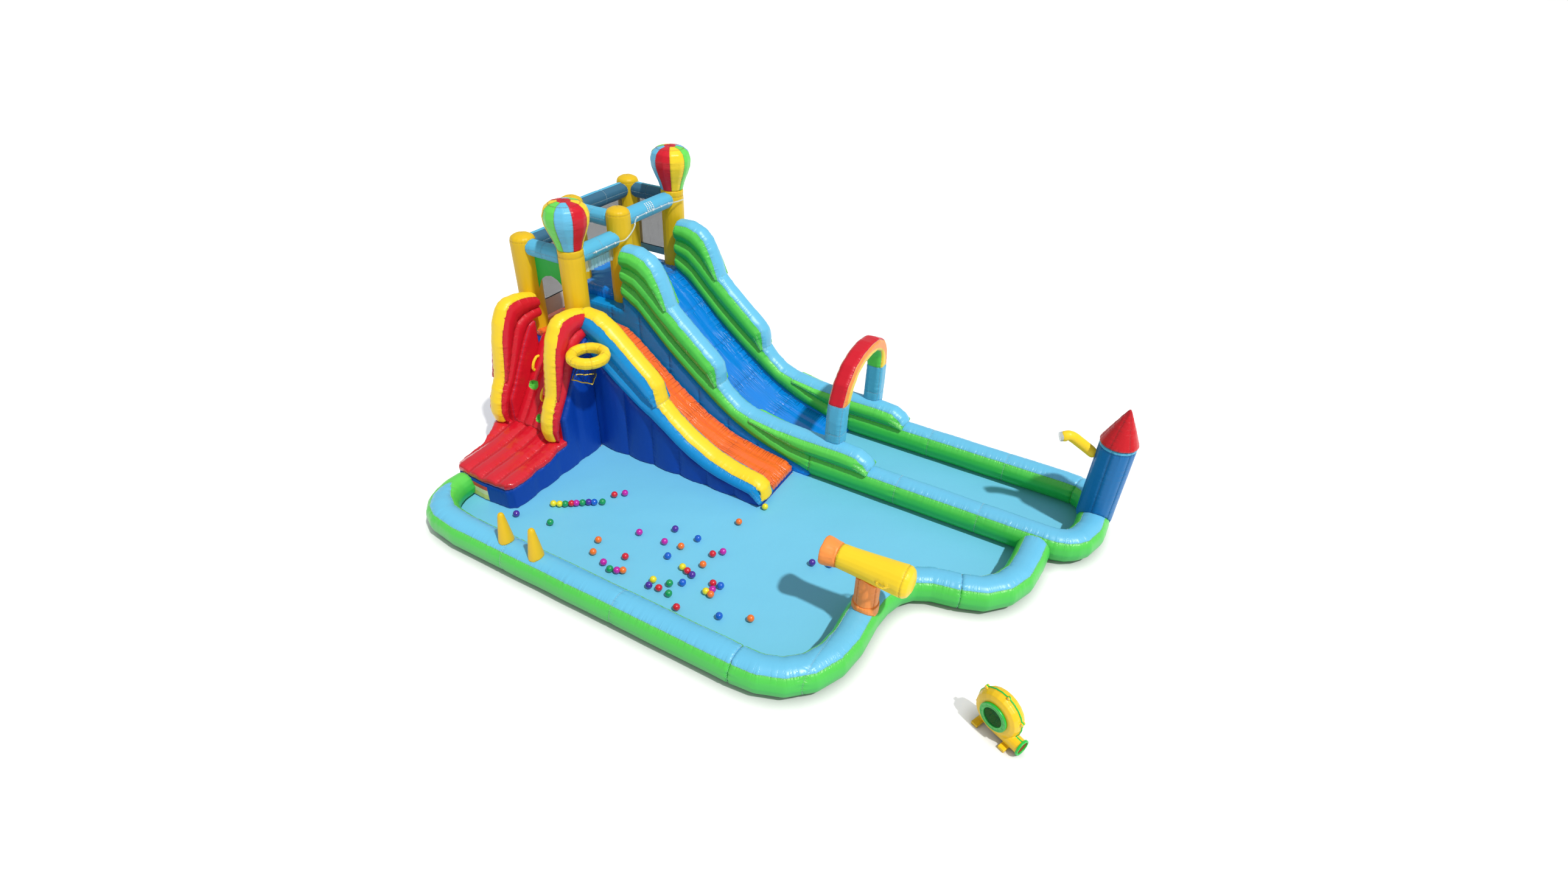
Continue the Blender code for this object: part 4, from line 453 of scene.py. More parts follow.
def seamLines(sheet, look):
    # the node's sharp edges, and the lines where planes cut its skin
    lines = []
    valley, ridge = math.radians(look["valley"]), math.radians(look["ridge"])
    for edge in sheet.edges:
        if len(edge.link_faces) != 2:
            continue
        first, second = (v.co.copy() for v in edge.verts)
        if look["bend"] and abs((second - first).normalized().dot(Vector(look["bend"]))) > 0.5:
            continue
        turn = edge.calc_face_angle_signed(0.0)
        if turn < -valley or turn > ridge:
            lines.append((first, second, turn < 0))
    for point, normal, keep in look["slices"]:
        cutCopy = sheet.copy()
        every = cutCopy.verts[:] + cutCopy.edges[:] + cutCopy.faces[:]
        made = bmesh.ops.bisect_plane(cutCopy, geom=every, plane_co=point, plane_no=normal)
        for edge in made["geom_cut"]:
            if not isinstance(edge, bmesh.types.BMEdge):
                continue
            first, second = (v.co.copy() for v in edge.verts)
            if keep is None or keep((first + second) / 2):
                lines.append((first, second, False))
        cutCopy.free()
    return lines


def alongLines(lines, step):
    points, valleys = [], []
    for first, second, isValley in lines:
        count = max(1, round((second - first).length / step))
        for i in range(count):
            points.append(first.lerp(second, (i + 0.5) / count))
            valleys.append(isValley)
    return points, valleys


def nearest(points, tree):
    found = [tree.find(point) for point in points]
    return np.array([entry[1] for entry in found]), np.array([entry[2] for entry in found])


def treeOf(points):
    tree = KDTree(max(1, len(points)))
    for index, point in enumerate(points):
        tree.insert(point, index)
    tree.balance()
    return tree


def relaxed(co, ends, free, rounds):
    # each point moves towards the middle of its neighbours, then nearly as far back
    count = len(co)
    first, second = ends[:, 0], ends[:, 1]
    degree = np.maximum(1, np.bincount(ends.ravel(), minlength=count))[:, None]
    for i in range(rounds * 2):
        total = np.empty_like(co)
        for axis in range(3):
            forward = np.bincount(first, co[second, axis], count)
            total[:, axis] = forward + np.bincount(second, co[first, axis], count)
        share = easing["shrink"] if i % 2 == 0 else easing["grow"]
        co = co + (total / degree - co) * free[:, None] * share
    return co


def readCo(data):
    flat = np.empty(len(data.vertices) * 3, np.float64)
    data.vertices.foreach_get("co", flat)
    return flat.reshape(-1, 3)


def readNormals(data):
    flat = np.empty(len(data.vertices) * 3, np.float64)
    data.vertex_normals.foreach_get("vector", flat)
    return flat.reshape(-1, 3)


def readEnds(data):
    flat = np.empty(len(data.edges) * 2, np.int32)
    data.edges.foreach_get("vertices", flat)
    return flat.reshape(-1, 2)


def writeCo(data, co):
    data.vertices.foreach_set("co", co.ravel())
    data.update()


def remeshed(sheets, voxel):
    whole = bpy.data.meshes.new("whole")
    joined = bmesh.new()
    for sheet in sheets:
        part = bpy.data.meshes.new("part")
        sheet.to_mesh(part)
        joined.from_mesh(part)
        bpy.data.meshes.remove(part)
    joined.to_mesh(whole)
    joined.free()
    holder = bpy.data.objects.new("holder", whole)
    scene.collection.objects.link(holder)
    skin = holder.modifiers.new("skin", "REMESH")
    skin.mode = "VOXEL"
    skin.voxel_size = voxel
    skin.use_smooth_shade = True
    bpy.context.view_layer.update()
    graph = bpy.context.evaluated_depsgraph_get()
    data = bpy.data.meshes.new_from_object(holder.evaluated_get(graph))
    bpy.data.objects.remove(holder, do_unlink=True)
    bpy.data.meshes.remove(whole)
    return data


def addAttribute(data, name, values):
    made = data.attributes.new(name, "FLOAT", "POINT")
    made.data.foreach_set("value", np.asarray(values, np.float32))


def finishPiece(name, data, material, body, nodes=()):
    data.name = name
    data.materials.clear()
    data.materials.append(material)
    data.shade_smooth()
    piece = bpy.data.objects.new(name, data)
    scene.collection.objects.link(piece)
    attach(piece, body)
    if nodes:
        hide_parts(*nodes)
    return piece


def joinedSeams(sheets, look):
    # the seams of every node, where a seam that two nodes share counts once
    lines = []
    for sheet in sheets:
        own = seamLines(sheet, look)
        if lines:
            known = treeOf(alongLines(lines, look["sharedStep"])[0])
            own = [line for line in own if known.find((line[0] + line[1]) / 2)[2] > look["shared"]]
        lines += own
    return lines


def swollen(away, pucker, co, look):
    # how far each point of the skin moves out: full between seams, gathered near them
    puffed = np.sqrt(1 - (1 - np.clip(away / look["span"], 0, 1)) ** 2)
    swell = look["puff"] * puffed
    swell -= look["groove"] * np.exp(-((away / look["grooveWide"]) ** 2))
    swell += look["wrinkle"] * pucker * np.exp(-away / look["reach"]) * np.clip(away / look["onset"], 0, 1)
    swell += look["slow"] * rippled(co, longWaves)
    return swell * np.clip(co[:, 2] / look["foot"], 0, 1)


def softPiece(name, nodes, material, slotName, body="slide", **changes):
    look = {**soft, **changes}
    sheets = [nodeShape(node) for node in nodes]
    lines = joinedSeams(sheets, look)
    points, valleys = alongLines(lines, look["step"])
    data = remeshed(sheets, look["voxel"])
    co = readCo(data)
    deep = [point for point, isValley in zip(points, valleys) if isValley]
    far = nearest(co, treeOf(deep))[1] if deep else np.full(len(co), 1.0)
    slack = np.clip(far / (look["voxel"] * 2.5) - 0.2, 0, 1)
    free = easing["held"] + (1 - easing["held"]) * slack
    co = relaxed(co, readEnds(data), free, look["relax"])
    index, away = np.zeros(len(co), int), np.full(len(co), 1.0)
    seamPoints = np.zeros((1, 3))
    if points:
        index, away = nearest(co, treeOf(points))
        seamPoints = np.array([tuple(point) for point in points])
    writeCo(data, co)
    out = readNormals(data)
    pucker = rippled(seamPoints[index], shortWaves)
    co = co + out * swollen(away, pucker, co, look)[:, None]
    co[:, 2] = np.maximum(co[:, 2], 0.0)
    writeCo(data, co)
    addAttribute(data, "seam", away)
    addAttribute(data, "pucker", np.clip(pucker, -1.5, 1.5))
    for label, mark in look["marks"].items():
        addAttribute(data, label, mark(co, out, sheets))
    if len(nodes) > 1:
        shells = [BVHTree.FromBMesh(sheet) for sheet in sheets]
        reach = np.array([[shell.find_nearest(point)[3] for shell in shells] for point in co])
        addAttribute(data, "zone", reach[:, 0] - reach[:, 1])
    for sheet in sheets:
        sheet.free()
    piece = finishPiece(name, data, material, body, nodes)
    keepStitches(piece, lines, slotName, body)
    print("soft piece", name, len(data.polygons))
    return piece


def keepStitches(piece, lines, slotName, body):
    # seam lines read on the finished skin, for the thread that is laid later
    corners = [v.co for v in piece.data.vertices]
    skin = BVHTree.FromPolygons(corners, [tuple(polygon.vertices) for polygon in piece.data.polygons])
    runs = stitchRuns.setdefault(body, {"points": [], "normals": [], "ends": [], "known": {}, "tints": []})
    for first, second, _ in lines:
        middle = (first + second) / 2
        length = (second - first).length
        cell = tuple(round(value / threadLook["cell"]) for value in middle)
        taken = cell in sewn and sewn[cell] != piece.name
        if taken or middle.z < threadLook["lowest"] or length < threadLook["shortest"]:
            continue
        sewn[cell] = piece.name
        count = max(1, round(length / threadLook["cell"]))
        before = None
        for i in range(count + 1):
            raw = first.lerp(second, i / count)
            key = tuple(round(value, 4) for value in raw)
            if key not in runs["known"]:
                spot, normal, _, gap = skin.find_nearest(raw)
                if spot is None or gap > threadLook["gap"]:
                    before = None
                    continue
                runs["known"][key] = len(runs["points"])
                runs["points"].append(spot)
                runs["normals"].append(normal)
                runs["tints"].append(threads[slotName])
            here = runs["known"][key]
            if before is not None and before != here:
                runs["ends"].append((before, here))
            before = here


# pool and channel: one tube of two cloths, light blue above and green below, over a flat floor
poolLook = {"wrinkle": 0.0028, "reach": 0.045, "voxel": 0.014}
# height of the seam between the cloths, and x of the cross seams in each wall
poolSeam = {"height": 0.2715, "crossFrom": 0.02}
poolWalls = {
    "pool_wall_front": (0.6, 1.9),
    "pool_wall_corner": (3.7,),
    "pool_wall_lobe": (),
    "channel_wall_front": (3.4, 4.3),
    "channel_wall_back": (3.4, 4.3),
}


def twoCloths(net, place):
    upper = net.parts(place)[2] > poolSeam["height"]
    # painted light and shade on the green below the seam: lighter on faces that point up, darker on the sides
    return net.mix(upper, shaded(net, "leaf", "lime", 0.1), cloth["lightBlue"])


def makePool():
    material = coatedCloth("poolCloth", twoCloths, rough=0.36, shine=0.55, crease=0.8)
    for node, places in poolWalls.items():
        slices = cuts("z", [poolSeam["height"]])
        slices += cuts("x", places, lambda middle: middle.z > poolSeam["crossFrom"])
        softPiece(f"{node}_skin", [node], material, "light_blue_vinyl", slices=slices, **poolLook)


makePool()

floorLook = {
    "cut": 0.05,
    "ripple": 0.0018,
    "pull": 0.004,
    "pullReach": 0.05,
    "tuck": 0.012,
    # height at which it lies, and the width over which it rises from its edge
    "lie": 0.0045,
    "rim": 0.02,
}


def grown(data, rims, reach):
    # outward shift of the points on the sheet's rim, in its plane
    shift = np.zeros((len(data.vertices), 2))
    rimSet = set(rims)
    uses = {}
    for polygon in data.polygons:
        for key in polygon.edge_keys:
            uses.setdefault(key, []).append(polygon.index)
    for (first, second), faces in uses.items():
        if len(faces) != 1 or first not in rimSet or second not in rimSet:
            continue
        a, b = data.vertices[first].co, data.vertices[second].co
        across = Vector((b.y - a.y, a.x - b.x))
        middle = (a + b) / 2 - data.polygons[faces[0]].center
        if across.length < 0.00001:
            continue
        across.normalize()
        if across.x * middle.x + across.y * middle.y < 0:
            across = -across
        for index in (first, second):
            shift[index] += across
    size = np.linalg.norm(shift, axis=1)
    shift[size > 0.01] *= (reach / size[size > 0.01])[:, None]
    return shift


def makeFloors():
    # the floor sheets, finely divided and a little uneven where they pull on the walls
    net = Net("floorSheet")
    place = net.place()
    tone = net.noise(place, 0.7, 2.0)
    patch = net.noise(place, 5.0, 4.0)
    colour = net.scaled(net.plain(cloth["floor"]), 0.96 + 0.08 * tone)
    bump = net.bump(patch * 0.004 + net.noise(place, 24.0, 3.0) * 0.0006)
    values = {"Base Color": colour, "Roughness": 0.42 + 0.1 * tone, "Normal": bump}
    material = net.finish(net.principled(values))
    for node in ("pool_floor", "channel_floor"):
        sheet = nodeShape(node)
        for face in [face for face in sheet.faces if face.normal.z < 0.5]:
            sheet.faces.remove(face)
        bmesh.ops.delete(sheet, geom=[v for v in sheet.verts if not v.link_faces], context="VERTS")
        bmesh.ops.dissolve_limit(sheet, angle_limit=0.01, verts=sheet.verts, edges=sheet.edges)
        low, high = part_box(node)
        for axis, start, stop in ((0, low.x, high.x), (1, low.y, high.y)):
            normal = Vector((axis == 0, axis == 1, 0))
            for i in range(1, int((stop - start) / floorLook["cut"])):
                every = sheet.verts[:] + sheet.edges[:] + sheet.faces[:]
                spot = normal * (start + floorLook["cut"] * i)
                bmesh.ops.bisect_plane(sheet, geom=every, plane_co=spot, plane_no=normal)
        data = bpy.data.meshes.new(node)
        sheet.to_mesh(data)
        edge = treeOf([(v.co.x, v.co.y, 0) for v in sheet.verts if v.is_boundary])
        sheet.free()
        co = readCo(data)
        flat = np.c_[co[:, :2], np.zeros(len(co))]
        rims = [v.index for v in data.vertices if edge.find((v.co.x, v.co.y, 0))[2] < 0.00001]
        co[:, :2] += grown(data, rims, floorLook["tuck"])
        away = nearest(flat, edge)[1]
        rise = floorLook["ripple"] * (1 + rippled(flat, longWaves) / 1.5)
        rise += floorLook["pull"] * rippled(flat, shortWaves) ** 2 * np.exp(-away / floorLook["pullReach"])
        co[:, 2] = floorLook["lie"] + rise * np.clip(away / floorLook["rim"], 0, 1)
        writeCo(data, co)
        area = sum(polygon.area for polygon in data.polygons)
        piece = finishPiece(f"{node}_sheet", data, material, "slide", [node])
        size = (high.x - low.x, high.y - low.y)
        round(min(area, size[0] * size[1]), 3)
        print("floor", node, round(area, 2))


makeFloors()

# foot holes go in square to the sloping wall: x of each, and its place up the slope
footHoles = ((-0.645, -0.281), (-0.4125, -0.611))
wallSlope = (0.628, 0.778)
holeLook = {"halves": (0.0665, 0.049), "reach": (0.071, 0.055), "front": -0.7, "baseGrow": 1.1}


def upSlope(y, z):
    return y * wallSlope[0] + z * wallSlope[1]


def between(value, low, high):
    return (value > low) * (value < high)


def nearHoles(net, place, grow):
    # 1 inside the outline of a foot hole, seen along its axis
    x, y, z = net.parts(place)
    up = upSlope(y, z)
    wide, tall = (half * grow for half in holeLook["halves"])
    inside = 0.0
    for holeX, holeUp in footHoles:
        inside = inside + ((((x - holeX) / wide) ** 2 + ((up - holeUp) / tall) ** 2) < 1.0)
    return inside


# chambers under the lanes, sewn in upright channels
baseLook = {"puff": 0.008, "span": 0.075, "voxel": 0.016, "wrinkle": 0.003}
baseSeams = {
    "side": (-0.7, -0.3, 0.1, 0.5, 0.9, 1.3, 1.7),
    "sidePlanes": (0.945, -0.375),
    "back": (-0.8, -0.05, 0.3, 0.62),
    "backPlane": -1.09,
    "near": 0.01,
}
basePaint = {
    "panelX": (-0.92, -0.03),
    "panelFront": -1.9,
    "panelFoot": 0.38,
    "badgeX": (-0.84, -0.32),
    "badgeZ": (0.02, 0.2),
    "badgeBack": -2.3,
    "stripes": (0.09, 0.15),
    "low": (0.75, 0.66, 0.16),
    "middle": (0.80, 0.74, 0.42),
    "high": (0.66, 0.06, 0.05),
}


def rearSides(net, place):
    return net.mix((net.parts(place)[2] * 0.8).clamp(), cloth["deepBlue"], cloth["midBlue"])


def climbSides(net, place):
    # red panel with the foot holes, over dark blue with a striped badge on its front
    x, y, z = net.parts(place)
    panel = between(x, *basePaint["panelX"]) * (z > basePaint["panelFoot"]) * (y > basePaint["panelFront"])
    colour = net.mix(panel, cloth["darkBlue"], cloth["red"])
    holes = (nearHoles(net, place, holeLook["baseGrow"]) * panel).clamp()
    colour = net.mix(holes, colour, cloth["lime"])
    facing = net.parts(net.node("ShaderNodeNewGeometry", out="Normal"))[1] < -0.6
    badge = facing * (y < basePaint["badgeBack"])
    badge = badge * between(x, *basePaint["badgeX"]) * between(z, *basePaint["badgeZ"])
    first, second = basePaint["stripes"]
    lower = net.mix(z > first, basePaint["low"], basePaint["middle"])
    return net.mix(badge, colour, net.mix(z > second, lower, basePaint["high"]))


def makeBases():
    front = coatedCloth("baseCloth", cloth["darkBlue"], fade=0.3, crumple=0.8)
    rear = coatedCloth("rearBaseCloth", rearSides, crumple=0.8)
    climb = coatedCloth("climbBaseCloth", climbSides, fade=0.25, crumple=0.8)
    def onSide(middle):
        return any(abs(middle.y - plane) < baseSeams["near"] for plane in baseSeams["sidePlanes"])
    def onBack(middle):
        return middle.x < baseSeams["backPlane"]
    side = cuts("x", baseSeams["side"], onSide)
    back = cuts("y", baseSeams["back"], onBack)
    softPiece("front_base_skin", ["front_base"], front, "dark_blue_vinyl", slices=back, **baseLook)
    softPiece("rear_base_skin", ["rear_base"], rear, "dark_blue_vinyl", slices=side + back, **baseLook)
    softPiece("climb_base_skin", ["climb_base"], climb, "dark_blue_vinyl", **{**baseLook, "voxel": 0.015})


makeBases()

# lanes: glossy sheet sewn in lengthwise tubes, with a cross seam at each length of cloth
laneLook = {
    "puff": 0.004,
    "span": 0.05,
    "voxel": 0.012,
    "wrinkle": 0.0036,
    "reach": 0.10,
    "valley": 200,
    "ridge": 60,
    "groove": 0.0025,
    "relax": 18,
}
laneCloth = {"rough": 0.3, "coat": 0.8, "crumple": 0.8, "crease": 3.2, "spread": 0.09, "seamDarkening": 0.12}
laneSeams = {"orange": (0.42, 0.95, 1.5), "blue": (0.30, 0.70, 1.12, 1.6)}


def makeLanes():
    orange = coatedCloth("orangeSheet", cloth["orange"], **laneCloth)
    blue = coatedCloth("blueSheet", cloth["laneBlue"], **laneCloth)
    first, second = (cuts("x", laneSeams[tone], lambda middle: middle.x > 0.0) for tone in ("orange", "blue"))
    softPiece("slide1_lane_skin", ["slide1_lane"], orange, "orange_vinyl", slices=first, **laneLook)
    softPiece("slide2_lane_skin", ["slide2_lane"], blue, "lane_blue_vinyl", slices=second, **laneLook)


makeLanes()

# rails: stacked tubes under a cap of another cloth, sewn together along the cap's edge
railLook = {"puff": 0.004, "span": 0.06, "voxel": 0.012, "wrinkle": 0.0026, "reach": 0.045}
bumperLook = {**railLook, "voxel": 0.011, "bend": (1, 0, 0)}


def capped(low, cap, high=None):
    def paint(net, place):
        # the lower cloth takes painted light and shade from shaded() where high differs from low
        return net.mix(net.attribute("zone") > 0.0, shaded(net, low, high or low), cap)
    return paint


def railPiece(name, stem, material, slotName, look):
    softPiece(f"{name}_skin", [f"{stem}_tubes", f"{stem}_cap"], material, slotName, **look)


def makeRails():
    # painted light and shade on the green tubes: lime where they face up, leaf green on their sides
    paint = capped("leaf", cloth["lightBlue"], "lime")
    green = coatedCloth("railCloth", paint, rough=0.37, shine=0.5, crease=0.8)
    blue = coatedCloth("railCloth2", capped("midBlue", cloth["yellow"]), rough=0.38, shine=0.45, crease=0.7)
    red = coatedCloth("bumperCloth", capped("red", cloth["yellow"]), rough=0.36, shine=0.42, crease=0.6)
    for rail in ("rail2_front", "rail2_back"):
        railPiece(rail, rail, green, "green_vinyl", railLook)
    railPiece("rail1", "rail1", blue, "mid_blue_vinyl", railLook)
    for side in ("near_bumper", "far_bumper"):
        railPiece(side, side, red, "red_vinyl", bumperLook)


makeRails()

# climbing side
climbLook = {"puff": 0.004, "span": 0.05, "voxel": 0.009, "wrinkle": 0.0025, "valley": 18}
matLook = {**climbLook, "puff": 0.003, "wrinkle": 0.002, "relax": 26}


def withinHole(corner, x, up):
    wide, tall = holeLook["reach"]
    return abs(corner.x - x) < wide and abs(upSlope(corner.y, corner.z) - up) < tall


def inHole(co, out, sheets):
    # lining of the foot holes: skin whose nearest face of the node lies inside a hole
    shell = BVHTree.FromBMesh(sheets[0])
    sheets[0].faces.ensure_lookup_table()
    lining = set()
    for face in sheets[0].faces:
        # the wall's own front slopes back and faces the climber
        if face.normal.y < holeLook["front"]:
            continue
        for x, up in footHoles:
            if all(withinHole(v.co, x, up) for v in face.verts):
                lining.add(face.index)
    return [float(shell.find_nearest(point)[2] in lining) for point in co]


def holed(net, place):
    inside = (net.attribute("hole") > 0.5) + nearHoles(net, place, 1.0)
    return net.mix(inside.clamp(), cloth["red"], cloth["lime"])


def makeClimb():
    wall = coatedCloth("climbCloth", holed, rough=0.3, coat=0.3)
    softPiece("climb_wall_skin", ["climb_wall"], wall, "red_vinyl", marks={"hole": inHole}, **climbLook)
    mat = coatedCloth("matCloth", cloth["red"], rough=0.3, coat=0.7, crumple=0.22)
    piece = softPiece("climb_mat_skin", ["climb_mat"], mat, "red_vinyl", **matLook)


makeClimb()

# tower: posts, beams, balloons
postLook = {"puff": 0.002, "span": 0.05, "voxel": 0.01, "wrinkle": 0.0018, "reach": 0.05, **unseamed}
# turn in degrees of a post's closing seam, and how far its cap reaches down
postSeams = {"closing": 135, "cap": 0.07}
posts = {
    "front_back_post": (-0.984, -0.906),
    "front_balloon_post": (-0.305, -0.906),
    "middle_back_post": (-0.984, -0.107),
    "middle_front_post": (-0.305, -0.107),
    "rear_back_post": (-0.984, 0.9135),
    "rear_balloon_post": (-0.305, 0.9135),
}


def makePosts():
    material = coatedCloth("postCloth", cloth["ochre"], fade=0.2, crease=0.45)
    for node, (x, y) in posts.items():
        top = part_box(node)[1].z
        # the closing seam lies on the side away from the pool
        slices = upright(x, y, [postSeams["closing"]], lambda middle, x=x: middle.x < x)
        slices += cuts("z", [top - postSeams["cap"]])
        softPiece(f"{node}_skin", [node], material, "yellow_vinyl", slices=slices, **postLook)


makePosts()
beamLook = {"puff": 0.002, "span": 0.04, "voxel": 0.01, "wrinkle": 0.002, "reach": 0.04, "ridge": 60}
# each beam, with the way to the tower's inside for those whose inner half is teal: partly the dark pleats of
# cloth inside the frame, partly painted shade of the tower's inside
beams = {
    "front_beam": (1, 1),
    "front_side_beam": None,
    "front_far_beam": (0, 1),
    "middle_beam": None,
    "rear_side_beam": None,
    "rear_far_beam": (0, 1),
    "rear_beam": (1, -1),
}
innerFrom = 0.02


def pleatedAndShaded(net, place):
    # painted shade: the inner half is teal, darker than the beam's light blue, together with the real dark
    # pleats there
    return net.mix(net.attribute("inner") > 0.0, cloth["beamBlue"], cloth["teal"])


def makeBeams():
    light = coatedCloth("beamCloth", cloth["beamBlue"])
    dark = coatedCloth("shadeCloth", pleatedAndShaded, rough=0.6)
    for node, inward in beams.items():
        low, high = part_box(node)
        lengthwise = (1, 0, 0) if high.x - low.x > high.y - low.y else (0, 1, 0)
        middle = (low + high) / 2
        slices = [*cuts("z", [middle.z]), (tuple(middle), lengthwise, None)]
        material = dark if inward else light
        piece = softPiece(f"{node}_skin", [node], material, "light_blue_vinyl", slices=slices, **beamLook)
        if inward:
            axis, sign = inward
            inner = (readCo(piece.data)[:, axis] - middle[axis]) * sign - innerFrom
            addAttribute(piece.data, "inner", inner)


makeBeams()
balloonLook = {"puff": 0.0, "span": 0.09, "voxel": 0.01, "wrinkle": 0.0012, "groove": 0.002, **unseamed}
balloonTones = ("lightBlue", "red", "yellow", "lime")
balloonCap = {"radius": 0.07, "deep": 0.1, "seam": 0.02}
# post it sits on, turn of its gores in degrees, and tone of the first gore
balloons = {
    "front_balloon": ("front_balloon_post", 76, 0),
    "rear_balloon": ("rear_balloon_post", 56, 2),
}


def gored(x, y, top, spin, shift):
    # eight gores in four tones, under a red cap
    def paint(net, place):
        tones = [cloth[tone] for tone in balloonTones]
        px, py, pz = net.parts(place)
        angle = (py - y).sum("ARCTAN2", px - x) + math.radians(spin + 360)
        step = (angle / (math.pi / 4) + shift).sum("FLOOR").sum("MODULO", 4)
        colour = net.plain(tones[0])
        for index in (1, 2, 3):
            colour = net.mix(step > index - 0.5, colour, tones[index])
        near = ((px - x) ** 2 + (py - y) ** 2) < balloonCap["radius"] ** 2
        return net.mix(near * (pz > top - balloonCap["deep"]), colour, cloth["red"])
    return paint


def makeBalloons():
    for node, (post, spin, shift) in balloons.items():
        x, y = posts[post]
        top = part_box(node)[1].z
        material = coatedCloth(f"{node}Cloth", gored(x, y, top, spin, shift), rough=0.34)
        slices = upright(x, y, [45 * i - spin for i in range(4)])
        slices += cuts("z", [top - balloonCap["seam"]])
        softPiece(f"{node}_skin", [node], material, "red_vinyl", slices=slices, **balloonLook)


makeBalloons()

# pieces on the walls
standLook = {"puff": 0.002, "span": 0.05, "voxel": 0.009, "wrinkle": 0.0018, "reach": 0.04}
castleSkin = {**standLook, "voxel": 0.011}
armSkin = {**standLook, "voxel": 0.007, "puff": 0.014, "ridge": 70}
strapSkin = {**standLook, "voxel": 0.0045, "puff": 0.006, "span": 0.012, "ridge": 70, "relax": 4}
archSkin = {**standLook, "ridge": 40}
hoopSkin = {**standLook, "voxel": 0.008, "ridge": 90, "wrinkle": 0.003, "relax": 24}
castleLook = {
    "middle": (5.336, 0.42),
    "wallTurns": (20, 80, 140),
    "roofTurns": (10, 70, 130),
    "seam": 1.06,
    "rim": 1.07,
}
archLook = {
    # y and z of the bow's middle, its half width and height, and where its legs end
    "middle": (0.345, 0.95),
    "halves": (0.525, 0.404),
    "legs": 0.955,
    "seams": (0.955, 0.6),
    "face": 0.62,
}
hoopLook = {
    "middle": (0.22875, -1.389, 1.375),
    "seam": 1.395,
    "turns": (20, 80, 140),
    "ring": 0.135,
    "corners": ((0.0525, -1.4925), (0.2925, -1.4475), (0.1875, -1.26), (0, -1.4025)),
    "floor": 1.10,
    "count": 16,
    "levels": 5,
    "pinch": 0.16,
    "sag": 0.006,
    "cord": 0.0022,
    "trim": 0.0065,
}


def makeCones():
    cone = coatedCloth("coneCloth", cloth["ochre"], rough=0.4)
    for node in ("wall_cone_1", "wall_cone_2"):
        softPiece(f"{node}_skin", [node], cone, "yellow_vinyl", **standLook)


def makeCastle():
    def rimmed(net, place):
        return net.mix(net.parts(place)[2] > castleLook["rim"], cloth["castleBlue"], cloth["beamBlue"])
    castle = coatedCloth("castleCloth", rimmed, rough=0.4, fade=0.25)
    x, y = castleLook["middle"]
    seams = upright(x, y, castleLook["wallTurns"]) + cuts("z", [castleLook["seam"]])
    softPiece("castle_tower_skin", ["castle_tower"], castle, "castle_vinyl", slices=seams, **castleSkin)
    roof = coatedCloth("roofCloth", cloth["roofRed"], rough=0.34)
    seams = upright(x, y, castleLook["roofTurns"])
    softPiece("castle_roof_skin", ["castle_roof"], roof, "red_vinyl", slices=seams, **standLook)
    arm = coatedCloth("armCloth", cloth["yellow"], rough=0.4)
    softPiece("spray_arm_skin", ["spray_arm"], arm, "yellow_vinyl", **armSkin)


def makeHandles():
    webbing = coatedCloth("handleWebbing", cloth["yellow"], rough=0.6, crumple=0.3)
    for node in ("lower_handle", "upper_handle"):
        softPiece(f"{node}_strap", [node], webbing, "yellow_webbing", **strapSkin)


def bow(net, place):
    # inner ring and outer ring of the arch, each with its own face and rim
    _, py, pz = net.parts(place)
    y, z = archLook["middle"]
    wide, tall = archLook["halves"]
    outer = (((py - y) / wide) ** 2 + ((pz - z) / tall) ** 2).root() > 1.0
    face = net.mix(outer, cloth["yellow"], cloth["paleOrange"])
    rim = net.mix(outer, cloth["lime"], cloth["red"])
    colour = net.mix(net.attribute("side") > archLook["face"], rim, face)
    return net.mix(pz > archLook["legs"], cloth["beamBlue"], colour)


def makeArch():
    side = {"side": lambda co, out, sheets: np.abs(out[:, 0])}
    arch = coatedCloth("archCloth", bow, rough=0.36)
    look = {**archSkin, "slices": cuts("z", archLook["seams"]), "marks": side}
    softPiece("spray_arch_skin", ["spray_arch"], arch, "light_blue_vinyl", **look)


def makeHoop():
    yellow = coatedCloth("hoopCloth", cloth["yellow"], rough=0.4)
    x, y, _ = hoopLook["middle"]
    seams = cuts("z", [hoopLook["seam"]]) + upright(x, y, hoopLook["turns"])
    softPiece("hoop_skin", ["hoop"], yellow, "yellow_vinyl", slices=seams, **hoopSkin)


makeCones()
makeCastle()
makeHandles()
makeArch()
makeHoop()
cannonLook = {"puff": 0.001, "span": 0.05, "voxel": 0.007, "wrinkle": 0.003, "reach": 0.03, "ridge": 60}
cannonPost = {**cannonLook, "puff": 0.0, "slow": 0.0, "wrinkle": 0.0015, **unseamed}
cannonBarrel = {**cannonLook, "slow": 0.0, "puff": 0.0}
cannonSeams = {"post": (3.81, -2.0925), "turns": (60, 150), "rings": (3.535, 4.125)}


def makeCannon():
    yellow = coatedCloth("cannonCloth", cloth["yellow"], rough=0.38)
    orange = coatedCloth("muzzleCloth", cloth["paleOrange"], rough=0.4)
    sides = upright(*cannonSeams["post"], cannonSeams["turns"])
    rings = cuts("x", cannonSeams["rings"])
    softPiece("cannon_foot_skin", ["cannon_foot"], orange, "yellow_vinyl", **cannonLook)
    for name, material, slotName, body, slices, look in (
        ("post", orange, "orange_vinyl", "cannon_mount", sides, cannonPost),
        ("barrel", yellow, "yellow_vinyl", "cannon_tube", rings, cannonBarrel),
        ("muzzle", orange, "orange_vinyl", "cannon_tube", (), cannonLook),
    ):
        softPiece(f"cannon_{name}_skin", [f"cannon_{name}"], material, slotName, body, slices=slices, **look)


makeCannon()
print("skins of the slide and the cannon made")

